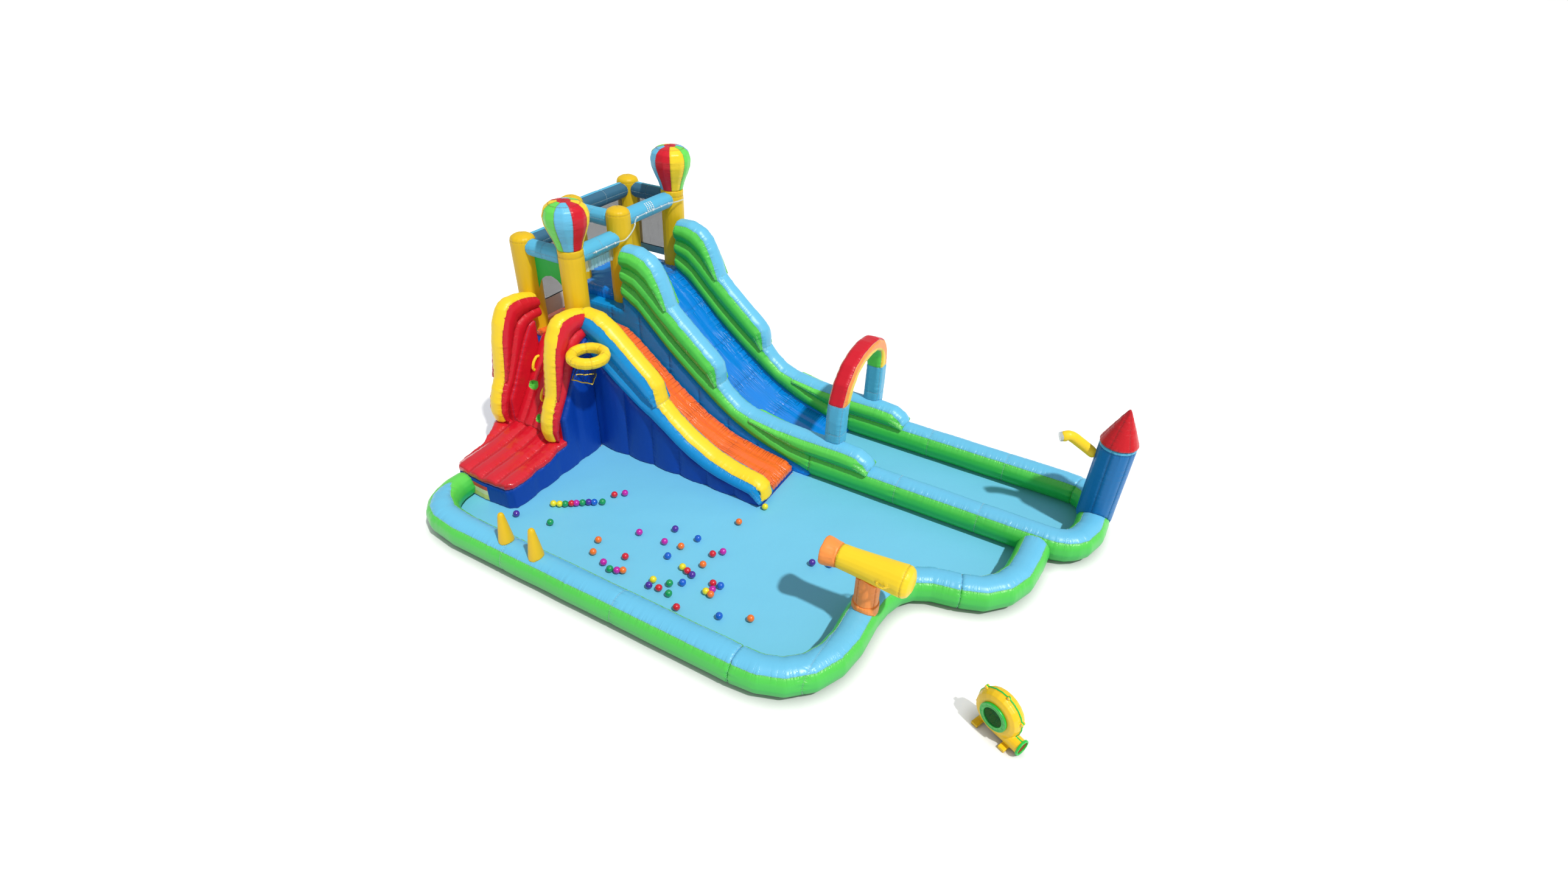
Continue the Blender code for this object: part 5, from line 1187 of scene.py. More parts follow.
# sheets of net and thin cloth under the beams
netLook = {
    "grid": 0.02,
    "cell": 0.0085,
    "cord": 0.68,
    "clear": 0.8,
    "pull": 0.006,
    "hemWide": 0.012,
    "hem": (0.02, 0.045, 0.05),
    "mesh": (0.055, 0.055, 0.06),
    "frontPanel": (0.66, 0.61, 0.53),
    "rearPanel": (0.22, 0.44, 0.46),
    "rearFrom": 0.1,
}
# each net, its hem's height and the level axis it runs along
nets = {"front_net": (1.48, 1), "rear_net": (1.69, 1), "side_net": (1.69, 0)}
# the front net stops at the rear base, which starts at this y and reaches this height
rearBase = {"front": -0.378, "top": 1.425}


def netCloth(hem):
    # knitted mesh over a solid pale panel, with a dark hem between them
    net = Net("knitMesh")
    place = net.place()
    x, y, z = net.parts(place)
    pitch = math.pi / netLook["cell"]
    along = x + y
    weave = ((along + z) * pitch).sin() * ((along - z) * pitch).sin()
    openCell = (abs(weave) > netLook["cord"]) * (z > hem)
    tone = net.noise(place, 3.0, 3.0)
    panel = net.mix(y > netLook["rearFrom"], netLook["frontPanel"], netLook["rearPanel"])
    colour = net.mix(z > hem, net.scaled(panel, 0.8 + 0.4 * tone), netLook["mesh"])
    colour = net.mix((abs(z - hem) < netLook["hemWide"]).clamp(), colour, netLook["hem"])
    bump = net.bump(net.noise(place, 30.0, 3.0) * 0.001)
    values = {"Base Color": colour, "Roughness": 0.6 + 0.2 * tone, "Normal": bump}
    values["Alpha"] = 1 - openCell * netLook["clear"]
    return net.finish(net.principled(values))


def gridFaces(columns, rows):
    wide = columns + 1
    starts = [j * wide + i for j in range(rows) for i in range(columns)]
    return [(first, first + 1, first + wide + 1, first + wide) for first in starts]


def sheetPiece(name, corners, counts, material, keep=None, bend=None):
    # a divided sheet between four corners, with folds from bend(u, v)
    low, side, up = (np.array(corner) for corner in corners)
    across, rise = side - low, up - low
    out = np.cross(across, rise)
    out = out / np.linalg.norm(out)
    us, vs = (np.linspace(0, 1, count + 1) for count in counts)
    grid = [low + across * u + rise * v + out * (bend(u, v) if bend else 0.0) for v in vs for u in us]
    faces = gridFaces(*counts)
    if keep:
        faces = [face for face in faces if keep(sum(grid[index] for index in face) / 4)]
    used = sorted({index for face in faces for index in face})
    order = {index: i for i, index in enumerate(used)}
    corners = [tuple(grid[index]) for index in used]
    data = bpy.data.meshes.new(name)
    data.from_pydata(corners, [], [tuple(order[index] for index in face) for face in faces])
    flat = (float(np.linalg.norm(across)), float(np.linalg.norm(rise)))
    return finishPiece(name, data, material, "slide"), flat


def tautBend(seed, deep):
    # small pulls in from the edges where the sheet is sewn on
    waves = np.random.default_rng(seed).uniform(0, 6.3, 6)
    def fold(i, u, v):
        return math.sin(6.3 * (u * (i + 2) + v * (i % 3)) + waves[i]) / (i + 2)
    def bend(u, v):
        slack = math.sin(math.pi * u) * math.sin(math.pi * v)
        folds = sum(fold(i, u, v) for i in range(len(waves)))
        return deep * slack * (0.6 + 0.5 * folds)
    return bend


def clearOfBase(point):
    return point[1] < rearBase["front"] or point[2] > rearBase["top"]


def makeNets():
    for seed, (node, (hem, axis)) in enumerate(nets.items()):
        low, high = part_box(node)
        start = (low + high) / 2
        start[axis] = low[axis]
        start[2] = low.z
        side, up = start.copy(), start.copy()
        side[axis] = high[axis]
        up[2] = high.z
        counts = tuple(round((high[i] - low[i]) / netLook["grid"]) for i in (axis, 2))
        keep = clearOfBase if node == "front_net" else None
        bend = tautBend(seed, netLook["pull"])
        sheet = (start, side, up)
        piece, flat = sheetPiece(f"{node}_sheet", sheet, counts, netCloth(hem), keep, bend)
        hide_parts(node)
        area = sum(polygon.area for polygon in piece.data.polygons)
        round(min(area, flat[0] * flat[1]), 4)


makeNets()
valanceLook = {
    "plane": -0.906,
    # lower edge: share of the width, and height in grid steps
    "shares": (0, 0.14, 0.3, 0.5, 0.7, 0.86, 1),
    "heights": (2.28, 2.44, 2.51, 2.54, 2.51, 2.44, 2.28),
    "columns": 24,
    "rows": 8,
    "seed": 11,
    "pull": 0.004,
    "pleats": 90,
}
skirtLook = {
    "corners": ((-0.303, -0.78, 1.955), (-0.303, -0.235, 1.955), (-0.303, -0.78, 2.094)),
    "counts": (90, 8),
    "deep": 0.011,
    "slow": 0.004,
    "colour": (0.42, 0.74, 0.86),
}
# metres in one grid step of the readings, and y where the count along the beams starts
gridStep = 0.75
gridStart = -1.125


def makeValance():
    # green cloth with an arched lower edge
    low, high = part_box("valance")
    material = coatedCloth("valanceCloth", cloth["leaf"], rough=0.5, crumple=0.8)
    columns, rows = valanceLook["columns"], valanceLook["rows"]
    fold = tautBend(valanceLook["seed"], valanceLook["pull"])
    verts, faces = [], []
    for i in range(columns + 1):
        u = i / columns
        under = float(np.interp(u, valanceLook["shares"], valanceLook["heights"])) * gridStep
        for j in range(rows + 1):
            v = j / rows
            x = low.x + (high.x - low.x) * u
            verts.append((x, valanceLook["plane"] + fold(u, v), under + (high.z - under) * v))
            if i < columns and j < rows:
                first = i * (rows + 1) + j
                faces.append((first, first + rows + 1, first + rows + 2, first + 1))
    data = bpy.data.meshes.new("valance")
    data.from_pydata(verts, [], faces)
    addAttribute(data, "seam", [min(0.5, abs(vert[2] - high.z)) for vert in verts])
    addAttribute(data, "pucker", np.sin(np.array([vert[0] for vert in verts]) * valanceLook["pleats"]))
    area = sum(polygon.area for polygon in data.polygons)
    piece = finishPiece("valance_sheet", data, material, "slide", ["valance"])
    flat = (high.x - low.x, high.z - low.z)
    round(min(area, flat[0] * flat[1]), 4)


def makeSkirt():
    # thin film gathered under the side beam
    net = Net("thinFilm")
    tone = net.noise(net.place(), 9.0, 3.0)
    values = {
        "Base Color": skirtLook["colour"],
        "Roughness": 0.2 + 0.2 * tone,
        "Normal": net.bump(tone * 0.003),
        "Alpha": 0.38 + 0.3 * tone,
    }
    film = net.finish(net.principled(values))
    def gathers(u, v):
        fine = skirtLook["deep"] * (1 - v) * math.sin(u * 62 + 2 * math.sin(u * 9))
        return fine + skirtLook["slow"] * math.sin(u * 23)
    corners, counts = skirtLook["corners"], skirtLook["counts"]
    piece, flat = sheetPiece("side_skirt", corners, counts, film, None, gathers)


makeValance()
makeSkirt()
print("sheets made")


class Grow:
    # a Geometry Nodes tree under construction, run once on a mesh
    def __init__(self, name, inputs):
        self.tree = bpy.data.node_groups.new(name, "GeometryNodeTree")
        face = self.tree.interface
        face.new_socket("Geometry", in_out="INPUT", socket_type="NodeSocketGeometry")
        self.keys = {}
        for label, kind in inputs.items():
            made = face.new_socket(label, in_out="INPUT", socket_type=f"NodeSocket{kind}")
            self.keys[label] = made.identifier
        face.new_socket("Geometry", in_out="OUTPUT", socket_type="NodeSocketGeometry")
        self.start = self.tree.nodes.new("NodeGroupInput")
        self.end = self.tree.nodes.new("NodeGroupOutput")

    def input(self, label):
        return self.start.outputs[label]

    def node(self, kind, settings=None, values=None, out=0):
        made = self.tree.nodes.new(kind)
        for key, value in (settings or {}).items():
            setattr(made, key, value)
        for key, value in (values or {}).items():
            if isinstance(value, bpy.types.NodeSocket):
                self.tree.links.new(value, made.inputs[key])
            else:
                made.inputs[key].default_value = value
        return made.outputs[out]

    def sum(self, operation, *values):
        return self.node("ShaderNodeMath", {"operation": operation}, dict(enumerate(values)))

    def vector(self, operation, first, second, key=1):
        return self.node("ShaderNodeVectorMath", {"operation": operation}, {0: first, key: second})

    def cord(self, curve, sides, values=None):
        # round cord of the tree's own radius along a curve
        ring = {"Resolution": sides, "Radius": self.input("Radius")}
        profile = self.node("GeometryNodeCurvePrimitiveCircle", {}, ring)
        shape = {"Curve": curve, "Profile Curve": profile, **(values or {})}
        return self.node("GeometryNodeCurveToMesh", {}, shape)

    def close(self, shape, material):
        real = self.node("GeometryNodeRealizeInstances", {}, {0: shape})
        smooth = self.node("GeometryNodeSetShadeSmooth", {}, {0: real})
        dressed = self.node("GeometryNodeSetMaterial", {}, {0: smooth, "Material": material})
        self.tree.links.new(dressed, self.end.inputs[0])

    def grown(self, data, values):
        holder = bpy.data.objects.new("holder", data)
        scene.collection.objects.link(holder)
        modifier = holder.modifiers.new("grow", "NODES")
        modifier.node_group = self.tree
        for label, value in values.items():
            modifier[self.keys[label]] = value
        bpy.context.view_layer.update()
        graph = bpy.context.evaluated_depsgraph_get()
        done = holder.evaluated_get(graph)
        made = bpy.data.meshes.new_from_object(done, preserve_all_data_layers=True, depsgraph=graph)
        bpy.data.objects.remove(holder, do_unlink=True)
        return made


def addVectors(data, name, kind, values):
    made = data.attributes.new(name, kind, "POINT")
    key = "color" if kind == "FLOAT_COLOR" else "vector"
    made.data.foreach_set(key, np.asarray(values, np.float32).ravel())


def cordTree(material):
    # round cords laid along the edges of a mesh
    grow = Grow("cords", {"Radius": "Float", "Sides": "Int"})
    curve = grow.node("GeometryNodeMeshToCurve", {}, {"Mesh": grow.input("Geometry")})
    grow.close(grow.cord(curve, grow.input("Sides"), {"Fill Caps": True}), material)
    return grow


def cordPiece(name, points, edges, radius, sides, material, body, nodes=()):
    data = bpy.data.meshes.new(f"{name}_lines")
    data.from_pydata([tuple(point) for point in points], edges, [])
    made = cordTree(material).grown(data, {"Radius": radius, "Sides": sides})
    return finishPiece(name, made, material, body, nodes)


def plainFinish(name, colour, rough, coat=0.0, alpha=None, metal=0.0, grained=0.0004, scale=60.0):
    net = Net(name)
    place = net.place()
    tone = net.noise(place, scale / 6, 3.0)
    values = {
        "Base Color": net.scaled(net.plain(colour), 0.93 + 0.14 * tone),
        "Roughness": rough + 0.1 * (tone - 0.5),
        "Normal": net.bump(net.noise(place, scale, 2.0) * grained),
        "Metallic": metal,
        "Coat Weight": coat,
    }
    if alpha is not None:
        values["Alpha"] = alpha
    return net.finish(net.principled(values))


# water hose along the beams, its straps and the dots of its spray patch
hoseLook = {
    # place along y in grid steps, way out from the beam, and share of the rise between beams
    "rows": (
        (0.60, 0, 0),
        (1.02, 0, 0),
        (1.16, 0.35, 0.02),
        (1.24, 0.85, 0.05),
        (1.357, 1.08, 0.3),
        (1.48, 0.85, 0.6),
        (1.56, 0.35, 0.92),
        (1.70, 0, 1),
        (2.12, 0, 1),
        (2.36, 0, 1),
        (2.48, 0.35, 1),
        (2.58, 0.85, 1),
        (2.718, 1.1, 1),
    ),
    "start": -0.20195,
    "reach": 0.051,
    "lowBeam": 2.185,
    "highBeam": 2.362,
    "radius": 0.0085,
    "straps": (0.68, 0.88, 1.08, 1.62, 1.82, 2.02, 2.22, 2.42),
    "strapHalf": 0.004,
    "strapOver": 0.002,
    "strapCord": 0.0032,
    "ring": 12,
}
dotLook = {
    "rows": 5,
    "columns": 4,
    "top": 60,
    "turn": 13,
    "start": 0.31,
    "step": 0.036,
    "beam": -0.305,
    "over": 0.0965,
    "ring": 0.0055,
    "cord": 0.0036,
    "points": 8,
}


def alongBeam(steps):
    return gridStart + gridStep * steps


def smoothLine(points, count):
    # points of a soft curve through the given ones
    knots = np.array(points, float)
    padded = np.vstack([2 * knots[0] - knots[1], knots, 2 * knots[-1] - knots[-2]])
    line = []
    for i in range(len(knots) - 1):
        a, b, c, d = padded[i:i + 4]
        for t in np.arange(count) / count:
            bent = (2 * a - 5 * b + 4 * c - d) * t * t + (3 * b - 3 * c + d - a) * t ** 3
            line.append(0.5 * (2 * b + (c - a) * t + bent))
    return np.array([*line, knots[-1]])


def ringPoints(middle, along, radius, count):
    along = np.array(along, float) / np.linalg.norm(along)
    side = np.cross(along, (0, 0, 1) if abs(along[2]) < 0.9 else (1, 0, 0))
    side = side / np.linalg.norm(side)
    third = np.cross(along, side)
    turns = np.arange(count) * 2 * math.pi / count
    return [np.array(middle) + radius * (side * math.cos(turn) + third * math.sin(turn)) for turn in turns]


def loopEdges(start, count):
    return [(start + i, start + (i + 1) % count) for i in range(count)]


def makeHose():
    clear = plainFinish("clearTube", (0.60, 0.74, 0.80), 0.12, 0.5, 0.45)
    low, high = hoseLook["lowBeam"], hoseLook["highBeam"]
    knots = []
    for steps, away, up in hoseLook["rows"]:
        x = hoseLook["start"] + hoseLook["reach"] * away
        knots.append((x, alongBeam(steps), low + (high - low) * up))
    line = smoothLine(knots, 8)
    edges = [(i, i + 1) for i in range(len(line) - 1)]
    cordPiece("hose", line, edges, hoseLook["radius"], 10, clear, "slide", ["spray_hose"])
    white = plainFinish("whiteTape", (0.80, 0.84, 0.85), 0.5)
    makeStraps(line, white)
    makeDots(white)


def makeStraps(line, white):
    points, loops = [], []
    half, count = hoseLook["strapHalf"], hoseLook["ring"]
    for steps in hoseLook["straps"]:
        index = int(np.argmin(abs(line[:, 1] - alongBeam(steps))))
        along = line[min(index + 1, len(line) - 1)] - line[index - 1]
        for shift in (-half, half):
            middle = line[index] + np.array((0, shift, 0))
            loops += loopEdges(len(points), count)
            points += ringPoints(middle, along, hoseLook["radius"] + hoseLook["strapOver"], count)
    cordPiece("hose_straps", points, loops, hoseLook["strapCord"], 5, white, "slide")


def makeDots(white):
    points, loops = [], []
    x, z, over = dotLook["beam"], hoseLook["highBeam"], dotLook["over"]
    for row in range(dotLook["rows"]):
        turn = math.radians(dotLook["top"] - dotLook["turn"] * row)
        out, up = math.cos(turn), math.sin(turn)
        for column in range(dotLook["columns"]):
            y = dotLook["start"] + dotLook["step"] * column
            loops += loopEdges(len(points), dotLook["points"])
            middle = (x + over * out, y, z + over * up)
            points += ringPoints(middle, (out, 0, up), dotLook["ring"], dotLook["points"])
    cordPiece("spray_dots", points, loops, dotLook["cord"], 5, white, "slide")


makeHose()
nozzleLook = {
    "tip": (4.815, 0.285, 1.065),
    "way": (-0.88, -0.44, -0.22),
    "behind": 0.022,
    "ahead": 0.016,
    "radius": 0.05,
}


def makeNozzle():
    tip, way = np.array(nozzleLook["tip"]), np.array(nozzleLook["way"])
    clear = plainFinish("nozzlePlastic", (0.55, 0.62, 0.66), 0.15, 0.6, 0.75)
    line = [tip - way * nozzleLook["behind"], tip, tip + way * nozzleLook["ahead"]]
    radius = nozzleLook["radius"]
    cordPiece("spray_nozzle", line, [(0, 1), (1, 2)], radius, 16, clear, "slide")


makeNozzle()


def makeHoopNet():
    # net and lower frame of the basketball ring
    middle, count, levels = np.array(hoopLook["middle"]), hoopLook["count"], hoopLook["levels"]
    corners = [np.array((x, y, hoopLook["floor"])) for x, y in hoopLook["corners"]]
    centre = sum(corners) / 4
    frameLine = []
    for corner, after in zip(corners, corners[1:] + corners[:1]):
        frameLine += [corner + (after - corner) * t for t in (0, 0.25, 0.5, 0.75)]
    sag = hoopLook["sag"]
    frameLine = [point + np.array((0, 0, sag * math.sin(2.4 * i))) for i, point in enumerate(frameLine)]
    turns = [math.atan2(*(point - centre)[1::-1]) for point in frameLine]
    points, edges = [], []
    for level in range(levels + 1):
        t = level / levels
        axis = middle * (1 - t) + centre * t
        pinch = 1 - hoopLook["pinch"] * math.sin(math.pi * t)
        for i in range(count):
            top = middle + hoopLook["ring"] * np.array((math.cos(turns[i]), math.sin(turns[i]), 0))
            point = top * (1 - t) + frameLine[i] * t
            points.append(axis + (point - axis) * pinch)
    for level in range(levels):
        for i in range(count):
            step = 1 if (level + i) % 2 == 0 else -1
            edges.append((level * count + i, (level + 1) * count + (i + step) % count))
            edges.append((level * count + i, (level + 1) * count + i))
    cords = plainFinish("netCord", (0.01, 0.014, 0.05), 0.7)
    cordPiece("hoop_net", points, edges, hoopLook["cord"], 5, cords, "slide")
    trim = plainFinish("trimCord", cloth["yellow"], 0.45)
    edges = loopEdges(0, len(frameLine))
    cordPiece("hoop_frame", frameLine, edges, hoopLook["trim"], 8, trim, "slide")


makeHoopNet()

# play balls that lie in the pool: x and y of each
ballPlaces = {
    "yellow": (
        (0.3, -2.25), (0.36, -2.22), (2.24, -1.13), (2.01, -2.32), (1.87, -2.6), (2.38, -2.47),
    ),
    "green": (
        (0.41, -2.19), (0.55, -2.08), (0.72, -1.96), (0.48, -2.49), (1.43, -2.7), (2.03, -2.56),
        (2.1, -2.67),
    ),
    "red": (
        (0.46, -2.15), (0.75, -1.8), (1.45, -2.49), (2.16, -2.02), (2.08, -2.34), (1.98, -2.66),
        (2.26, -2.77), (2.38, -2.35),
    ),
    "magenta": (
        (0.5, -2.12), (0.83, -1.72), (1.35, -2.14), (1.65, -2.12), (1.32, -2.66), (1.5, -2.68),
        (2.23, -1.94), (2.42, -2.42),
    ),
    "indigo": (
        (0.6, -2.04), (0.09, -2.57), (1.63, -1.91), (2.15, -2.36), (1.88, -2.68), (3.06, -1.62),
    ),
    "blue": (
        (0.65, -2.01), (1.91, -1.91), (1.8, -2.27), (2.13, -2.49), (2.46, -2.34), (2.65, -2.66),
        (3.22, -1.55),
    ),
    "orange": (
        (2.13, -1.48), (1.83, -2.09), (1.07, -2.44), (1.14, -2.6), (1.55, -2.65), (2.16, -2.19),
        (2.44, -2.48), (2.91, -2.54),
    ),
}
ballLook = {"radius": 0.035, "floor": 0.0075}
ballTones = {
    "yellow": (0.8, 0.7, 0.02),
    "green": (0.005, 0.3, 0.09),
    "red": (0.62, 0.01, 0.03),
    "magenta": (0.5, 0.01, 0.36),
    "indigo": (0.07, 0.02, 0.32),
    "blue": (0.005, 0.11, 0.58),
    "orange": (0.85, 0.17, 0.02),
}


def tinted(name, rough, coat):
    net = Net(name)
    place = net.place()
    values = {
        "Base Color": net.attribute("tint", "Color"),
        "Roughness": rough + 0.1 * net.noise(place, 30.0),
        "Normal": net.bump(net.noise(place, 90.0, 2.0) * 0.0004),
        "Coat Weight": coat,
    }
    return net.finish(net.principled(values))


def makeBalls():
    points, tones = [], []
    for name, tone in ballTones.items():
        for x, y in ballPlaces[name]:
            points.append((x, y, ballLook["floor"] + ballLook["radius"]))
            tones.append((*tone, 1))
    data = bpy.data.meshes.new("ball_places")
    data.from_pydata(points, [], [])
    addVectors(data, "tint", "FLOAT_COLOR", tones)
    material = tinted("ballPlastic", 0.22, 0.5)
    grow = Grow("balls", {"Radius": "Float"})
    sphere = {"Radius": grow.input("Radius"), "Subdivisions": 3}
    ball = grow.node("GeometryNodeMeshIcoSphere", {}, sphere)
    laid = {"Points": grow.input("Geometry"), "Instance": ball}
    grow.close(grow.node("GeometryNodeInstanceOnPoints", {}, laid), material)
    made = grow.grown(data, {"Radius": ballLook["radius"]})
    finishPiece("play_balls", made, material, "slide")


makeBalls()
print("hose, hoop net and balls made")

# blower: moulded halves with a green seam band, inlet mesh and screws
blowerLook = {
    "middle": (5.145, -2.5125, 0.245),
    "axis": (-0.40673664, -0.91354546, 0.0),
    "side": (0.91354546, -0.40673664, 0.0),
    "colour": (0.92, 0.58, 0.012),
    "green": (0.015, 0.55, 0.06),
    "bandHalf": 0.0065,
    "bandFrom": 0.197,
    "outletFrom": 0.243,
    "outletTop": 0.17,
    "grain": 0.00012,
}
shellLook = {
    "valley": 40,
    "ridge": 40,
    "slices": (),
    "bend": None,
    "voxel": 0.0039,
    "relax": 20,
    # step between the points read along sharp corners; nearer to them only a share is relaxed
    "step": 0.002,
    "corner": 0.005,
    "held": 0.25,
}
screwLook = {
    "turns": (80, 20, 140, 200),
    "out": 0.214,
    "far": 0.08,
    "rings": (0.0017, 0.0042),
    "cord": 0.0014,
}
inletLook = {
    "mesh": 0.087,
    "pitch": 0.0115,
    "turn": 33,
    "cord": 0.0017,
    "ribs": 12,
    "ribFrom": 0.097,
    "ribTo": 0.1135,
    "ribCord": 0.0016,
}
outletLook = {"out": 0.252, "height": 0.082, "mesh": 0.059, "pitch": 0.007, "turn": 45, "cord": 0.0012}


def hardPiece(name, sheet, material, nodes):
    # moulded plastic: the node's facets made round, its sharp corners only softened
    corners = treeOf(alongLines(seamLines(sheet, shellLook), shellLook["step"])[0])
    data = remeshed([sheet], shellLook["voxel"])
    co = readCo(data)
    away = nearest(co, corners)[1]
    free = np.where(away < shellLook["corner"], shellLook["held"], 1.0)
    co = relaxed(co, readEnds(data), free, shellLook["relax"])
    co[:, 2] = np.maximum(co[:, 2], 0.0)
    writeCo(data, co)
    return finishPiece(name, data, material, "slide", nodes)


def turned(name, profile, middle, axis, side, up):
    # closed ring turned from (radius, reach) pairs
    count, wide = 72, len(profile)
    verts = []
    for i in range(count):
        turn = 2 * math.pi * i / count
        way = side * math.cos(turn) + up * math.sin(turn)
        verts += [tuple(middle + way * radius + axis * reach) for radius, reach in profile]
    faces = []
    for i in range(count):
        for j in range(wide):
            first, after = i * wide, (i + 1) % count * wide
            faces.append((first + j, first + (j + 1) % wide, after + (j + 1) % wide, after + j))
    data = bpy.data.meshes.new(name)
    data.from_pydata(verts, [], faces)
    sheet = bmesh.new()
    sheet.from_mesh(data)
    bmesh.ops.recalc_face_normals(sheet, faces=sheet.faces)
    sheet.to_mesh(data)
    sheet.free()
    return data


def lattice(centre, first, second, spread, pitch, degrees):
    # two crossing sets of bars inside a circle
    points, lines = [], []
    for way in (1, -1):
        angle = math.radians(degrees * way)
        along, across = (math.cos(angle), math.sin(angle)), (-math.sin(angle), math.cos(angle))
        for i in range(-int(spread / pitch), int(spread / pitch) + 1):
            half = math.sqrt(max(0.0, spread ** 2 - (i * pitch) ** 2))
            if half < pitch / 2:
                continue
            lines.append((len(points), len(points) + 1))
            for sign in (-1, 1):
                flat = [across[k] * i * pitch + along[k] * half * sign for k in (0, 1)]
                points.append(centre + first * flat[0] + second * flat[1])
    return points, lines


def shellPlastic(middle, axis, side):
    # yellow shell with a green band round its seam and a green outlet
    net = Net("blowerShell")
    place = net.place()
    x, y, z = net.parts(place)
    reach = (x - middle[0]) * axis[0] + (y - middle[1]) * axis[1]
    across = (x - middle[0]) * side[0] + (y - middle[1]) * side[1]
    radius = (across ** 2 + (z - middle[2]) ** 2).root()
    band = (abs(reach) < blowerLook["bandHalf"]) * (radius > blowerLook["bandFrom"])
    outlet = (across > blowerLook["outletFrom"]) * (z < blowerLook["outletTop"])
    tone = net.noise(place, 5.0, 3.0)
    colour = net.mix((band + outlet).clamp(), blowerLook["colour"], blowerLook["green"])
    colour = net.scaled(colour, 0.94 + 0.12 * tone)
    bump = net.bump(net.noise(place, 420.0, 2.0) * blowerLook["grain"])
    values = {"Base Color": colour, "Roughness": 0.3 + 0.1 * tone, "Normal": bump}
    return net.finish(net.principled(values))


def makeScrews(hull, middle, axis, side, upward):
    steel = plainFinish("screwSteel", (0.62, 0.63, 0.64), 0.3, 0.0, None, 1.0)
    points, loops = [], []
    for turn in screwLook["turns"]:
        angle = math.radians(turn)
        spot = middle + screwLook["out"] * (side * math.cos(angle) + upward * math.sin(angle))
        for sign in (1, -1):
            found = hull.ray_cast(Vector(spot + axis * screwLook["far"] * sign), Vector(-axis * sign))[0]
            if found is None:
                continue
            for ring in screwLook["rings"]:
                loops += loopEdges(len(points), 8)
                points += ringPoints(np.array(found), axis, ring, 8)
    cordPiece("blower_screws", points, loops, screwLook["cord"], 4, steel, "slide")


def makeInlet(green, middle, axis, side, upward):
    grille = readCo(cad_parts["blower_inlet_grille"].data) - middle
    near, far = float((grille @ axis).min()), float((grille @ axis).max())
    # radius and reach along the axis, round the ring's section
    rim = [
        (0.085, near),
        (0.085, far - 0.001),
        (0.088, far + 0.001),
        (0.094, far + 0.001),
        (0.0965, far - 0.001),
        (0.113, far - 0.001),
        (0.1155, far + 0.001),
        (0.123, far),
        (0.125, far - 0.003),
        (0.125, near),
    ]
    data = turned("blower_inlet", rim, middle, axis, side, upward)
    finishPiece("blower_inlet", data, green, "slide", ["blower_inlet_grille"])
    centre = middle + axis * (near + far) / 2
    points, lines = lattice(centre, side, upward, inletLook["mesh"], inletLook["pitch"], inletLook["turn"])
    mesh = plainFinish("meshGreen", (0.008, 0.26, 0.035), 0.4)
    cordPiece("inlet_mesh", points, lines, inletLook["cord"], 4, mesh, "slide")
    ribs, runs = [], []
    front = middle + axis * (far - 0.001)
    for i in range(inletLook["ribs"]):
        turn = math.radians(360 / inletLook["ribs"] * (i + 0.5))
        way = side * math.cos(turn) + upward * math.sin(turn)
        runs.append((len(ribs), len(ribs) + 1))
        ribs += [front + way * inletLook["ribFrom"], front + way * inletLook["ribTo"]]
    cordPiece("inlet_ribs", ribs, runs, inletLook["ribCord"], 6, green, "slide")


def makeOutlet(middle, axis, side, upward):
    bronze = plainFinish("meshBronze", (0.28, 0.11, 0.012), 0.45, 0.0, None, 0.6)
    centre = middle + side * outletLook["out"] + upward * (outletLook["height"] - middle[2])
    points, lines = lattice(centre, axis, upward, outletLook["mesh"], outletLook["pitch"], outletLook["turn"])
    cordPiece("outlet_mesh", points, lines, outletLook["cord"], 4, bronze, "slide")


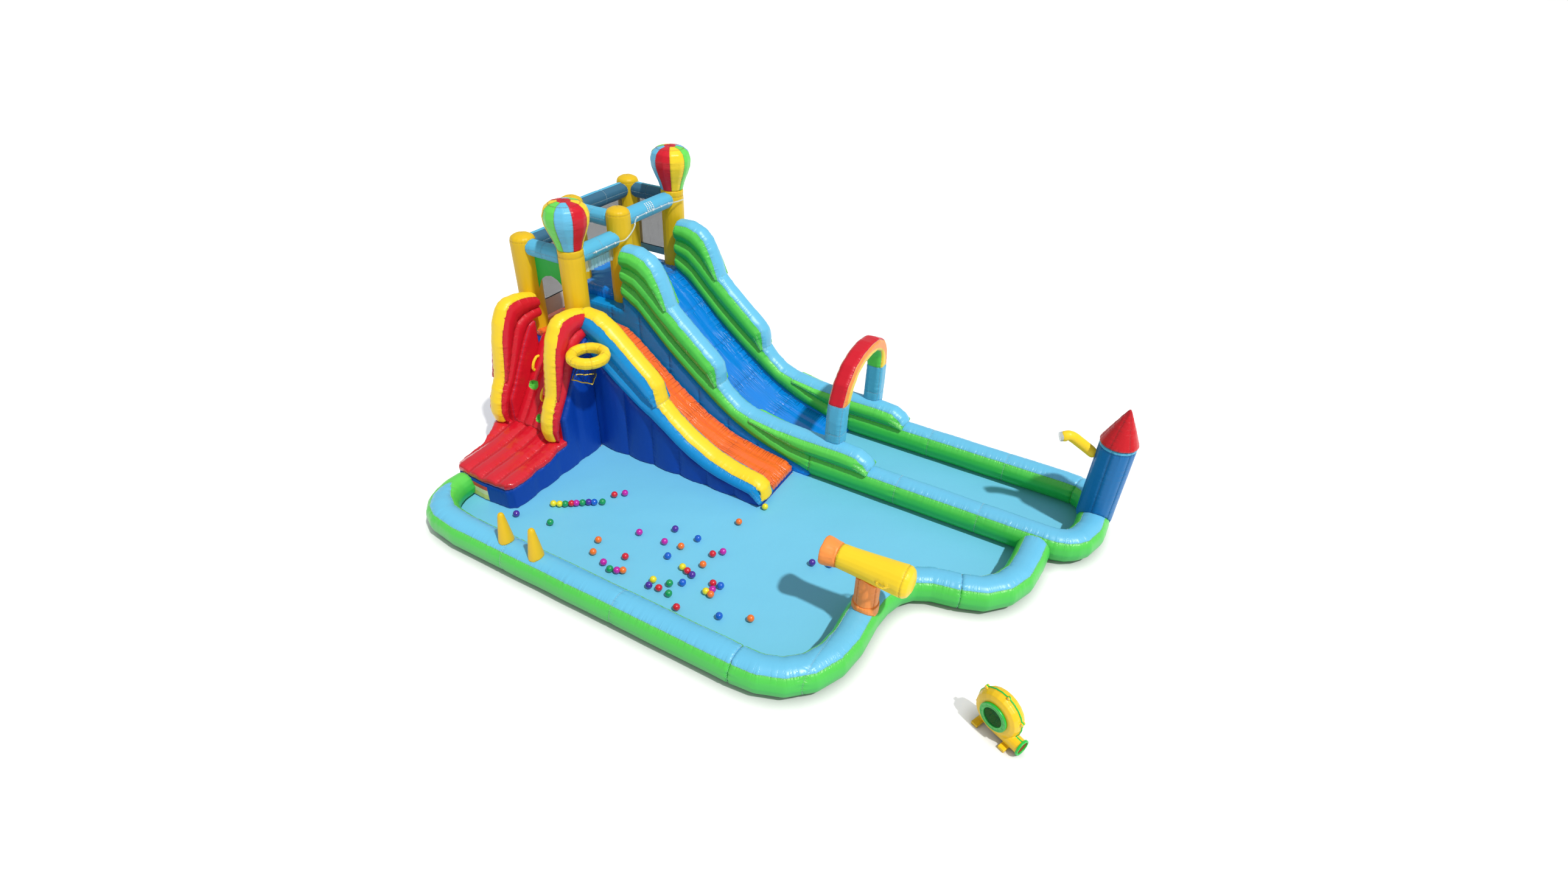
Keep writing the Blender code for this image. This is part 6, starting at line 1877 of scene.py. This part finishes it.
def makeBlower():
    middle, axis, side = (np.array(blowerLook[key]) for key in ("middle", "axis", "side"))
    upward = np.array((0.0, 0.0, 1.0))
    shell = shellPlastic(middle, axis, side)
    green = plainFinish("blowerGreen", (0.012, 0.50, 0.05), 0.3, 0.15, None, 0.0, blowerLook["grain"], 400.0)
    grey = plainFinish("impellerGrey", (0.05, 0.055, 0.06), 0.5)
    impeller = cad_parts["blower_impeller"].data
    impeller.materials.clear()
    impeller.materials.append(grey)
    housing = nodeShape("blower_housing")
    hull = BVHTree.FromBMesh(housing)
    hardPiece("blower_shell", housing, shell, ["blower_housing"])
    makeScrews(hull, middle, axis, side, upward)
    makeInlet(green, middle, axis, side, upward)
    makeOutlet(middle, axis, side, upward)


makeBlower()
print("blower made")


def makeStitches():
    # zigzag thread over the seams, read on the finished skins
    material = tinted("thread", 0.6, 0.0)
    grow = Grow("stitches", {"Pitch": "Float", "Width": "Float", "Lift": "Float", "Radius": "Float"})
    curve = grow.node("GeometryNodeMeshToCurve", {}, {"Mesh": grow.input("Geometry")})
    spaced = {"Curve": curve, "Length": grow.input("Pitch")}
    steps = grow.node("GeometryNodeResampleCurve", {"mode": "LENGTH"}, spaced)
    index = grow.node("GeometryNodeInputIndex")
    way = grow.sum("SUBTRACT", grow.sum("MODULO", index, 2.0), 0.5)
    up = grow.node("GeometryNodeInputNamedAttribute", {"data_type": "FLOAT_VECTOR"}, {"Name": "up"})
    along = grow.node("GeometryNodeInputTangent")
    across = grow.vector("NORMALIZE", grow.vector("CROSS_PRODUCT", along, up), (0, 0, 0))
    swing = grow.vector("SCALE", across, grow.sum("MULTIPLY", way, grow.input("Width")), "Scale")
    lift = grow.vector("SCALE", up, grow.input("Lift"), "Scale")
    moved = {"Geometry": steps, "Offset": grow.vector("ADD", swing, lift)}
    placed = grow.node("GeometryNodeSetPosition", {}, moved)
    grow.close(grow.cord(placed, 3), material)
    for body, runs in stitchRuns.items():
        data = bpy.data.meshes.new(f"{body}_seams")
        data.from_pydata([tuple(point) for point in runs["points"]], runs["ends"], [])
        addVectors(data, "up", "FLOAT_VECTOR", [tuple(normal) for normal in runs["normals"]])
        addVectors(data, "tint", "FLOAT_COLOR", [(*tint, 1) for tint in runs["tints"]])
        values = {label: threadLook[label.lower()] for label in ("Pitch", "Width", "Lift", "Radius")}
        made = grow.grown(data, values)
        print("stitches", body, len(runs["ends"]), len(made.polygons))
        finishPiece(f"{body}_stitches", made, material, body)


makeStitches()
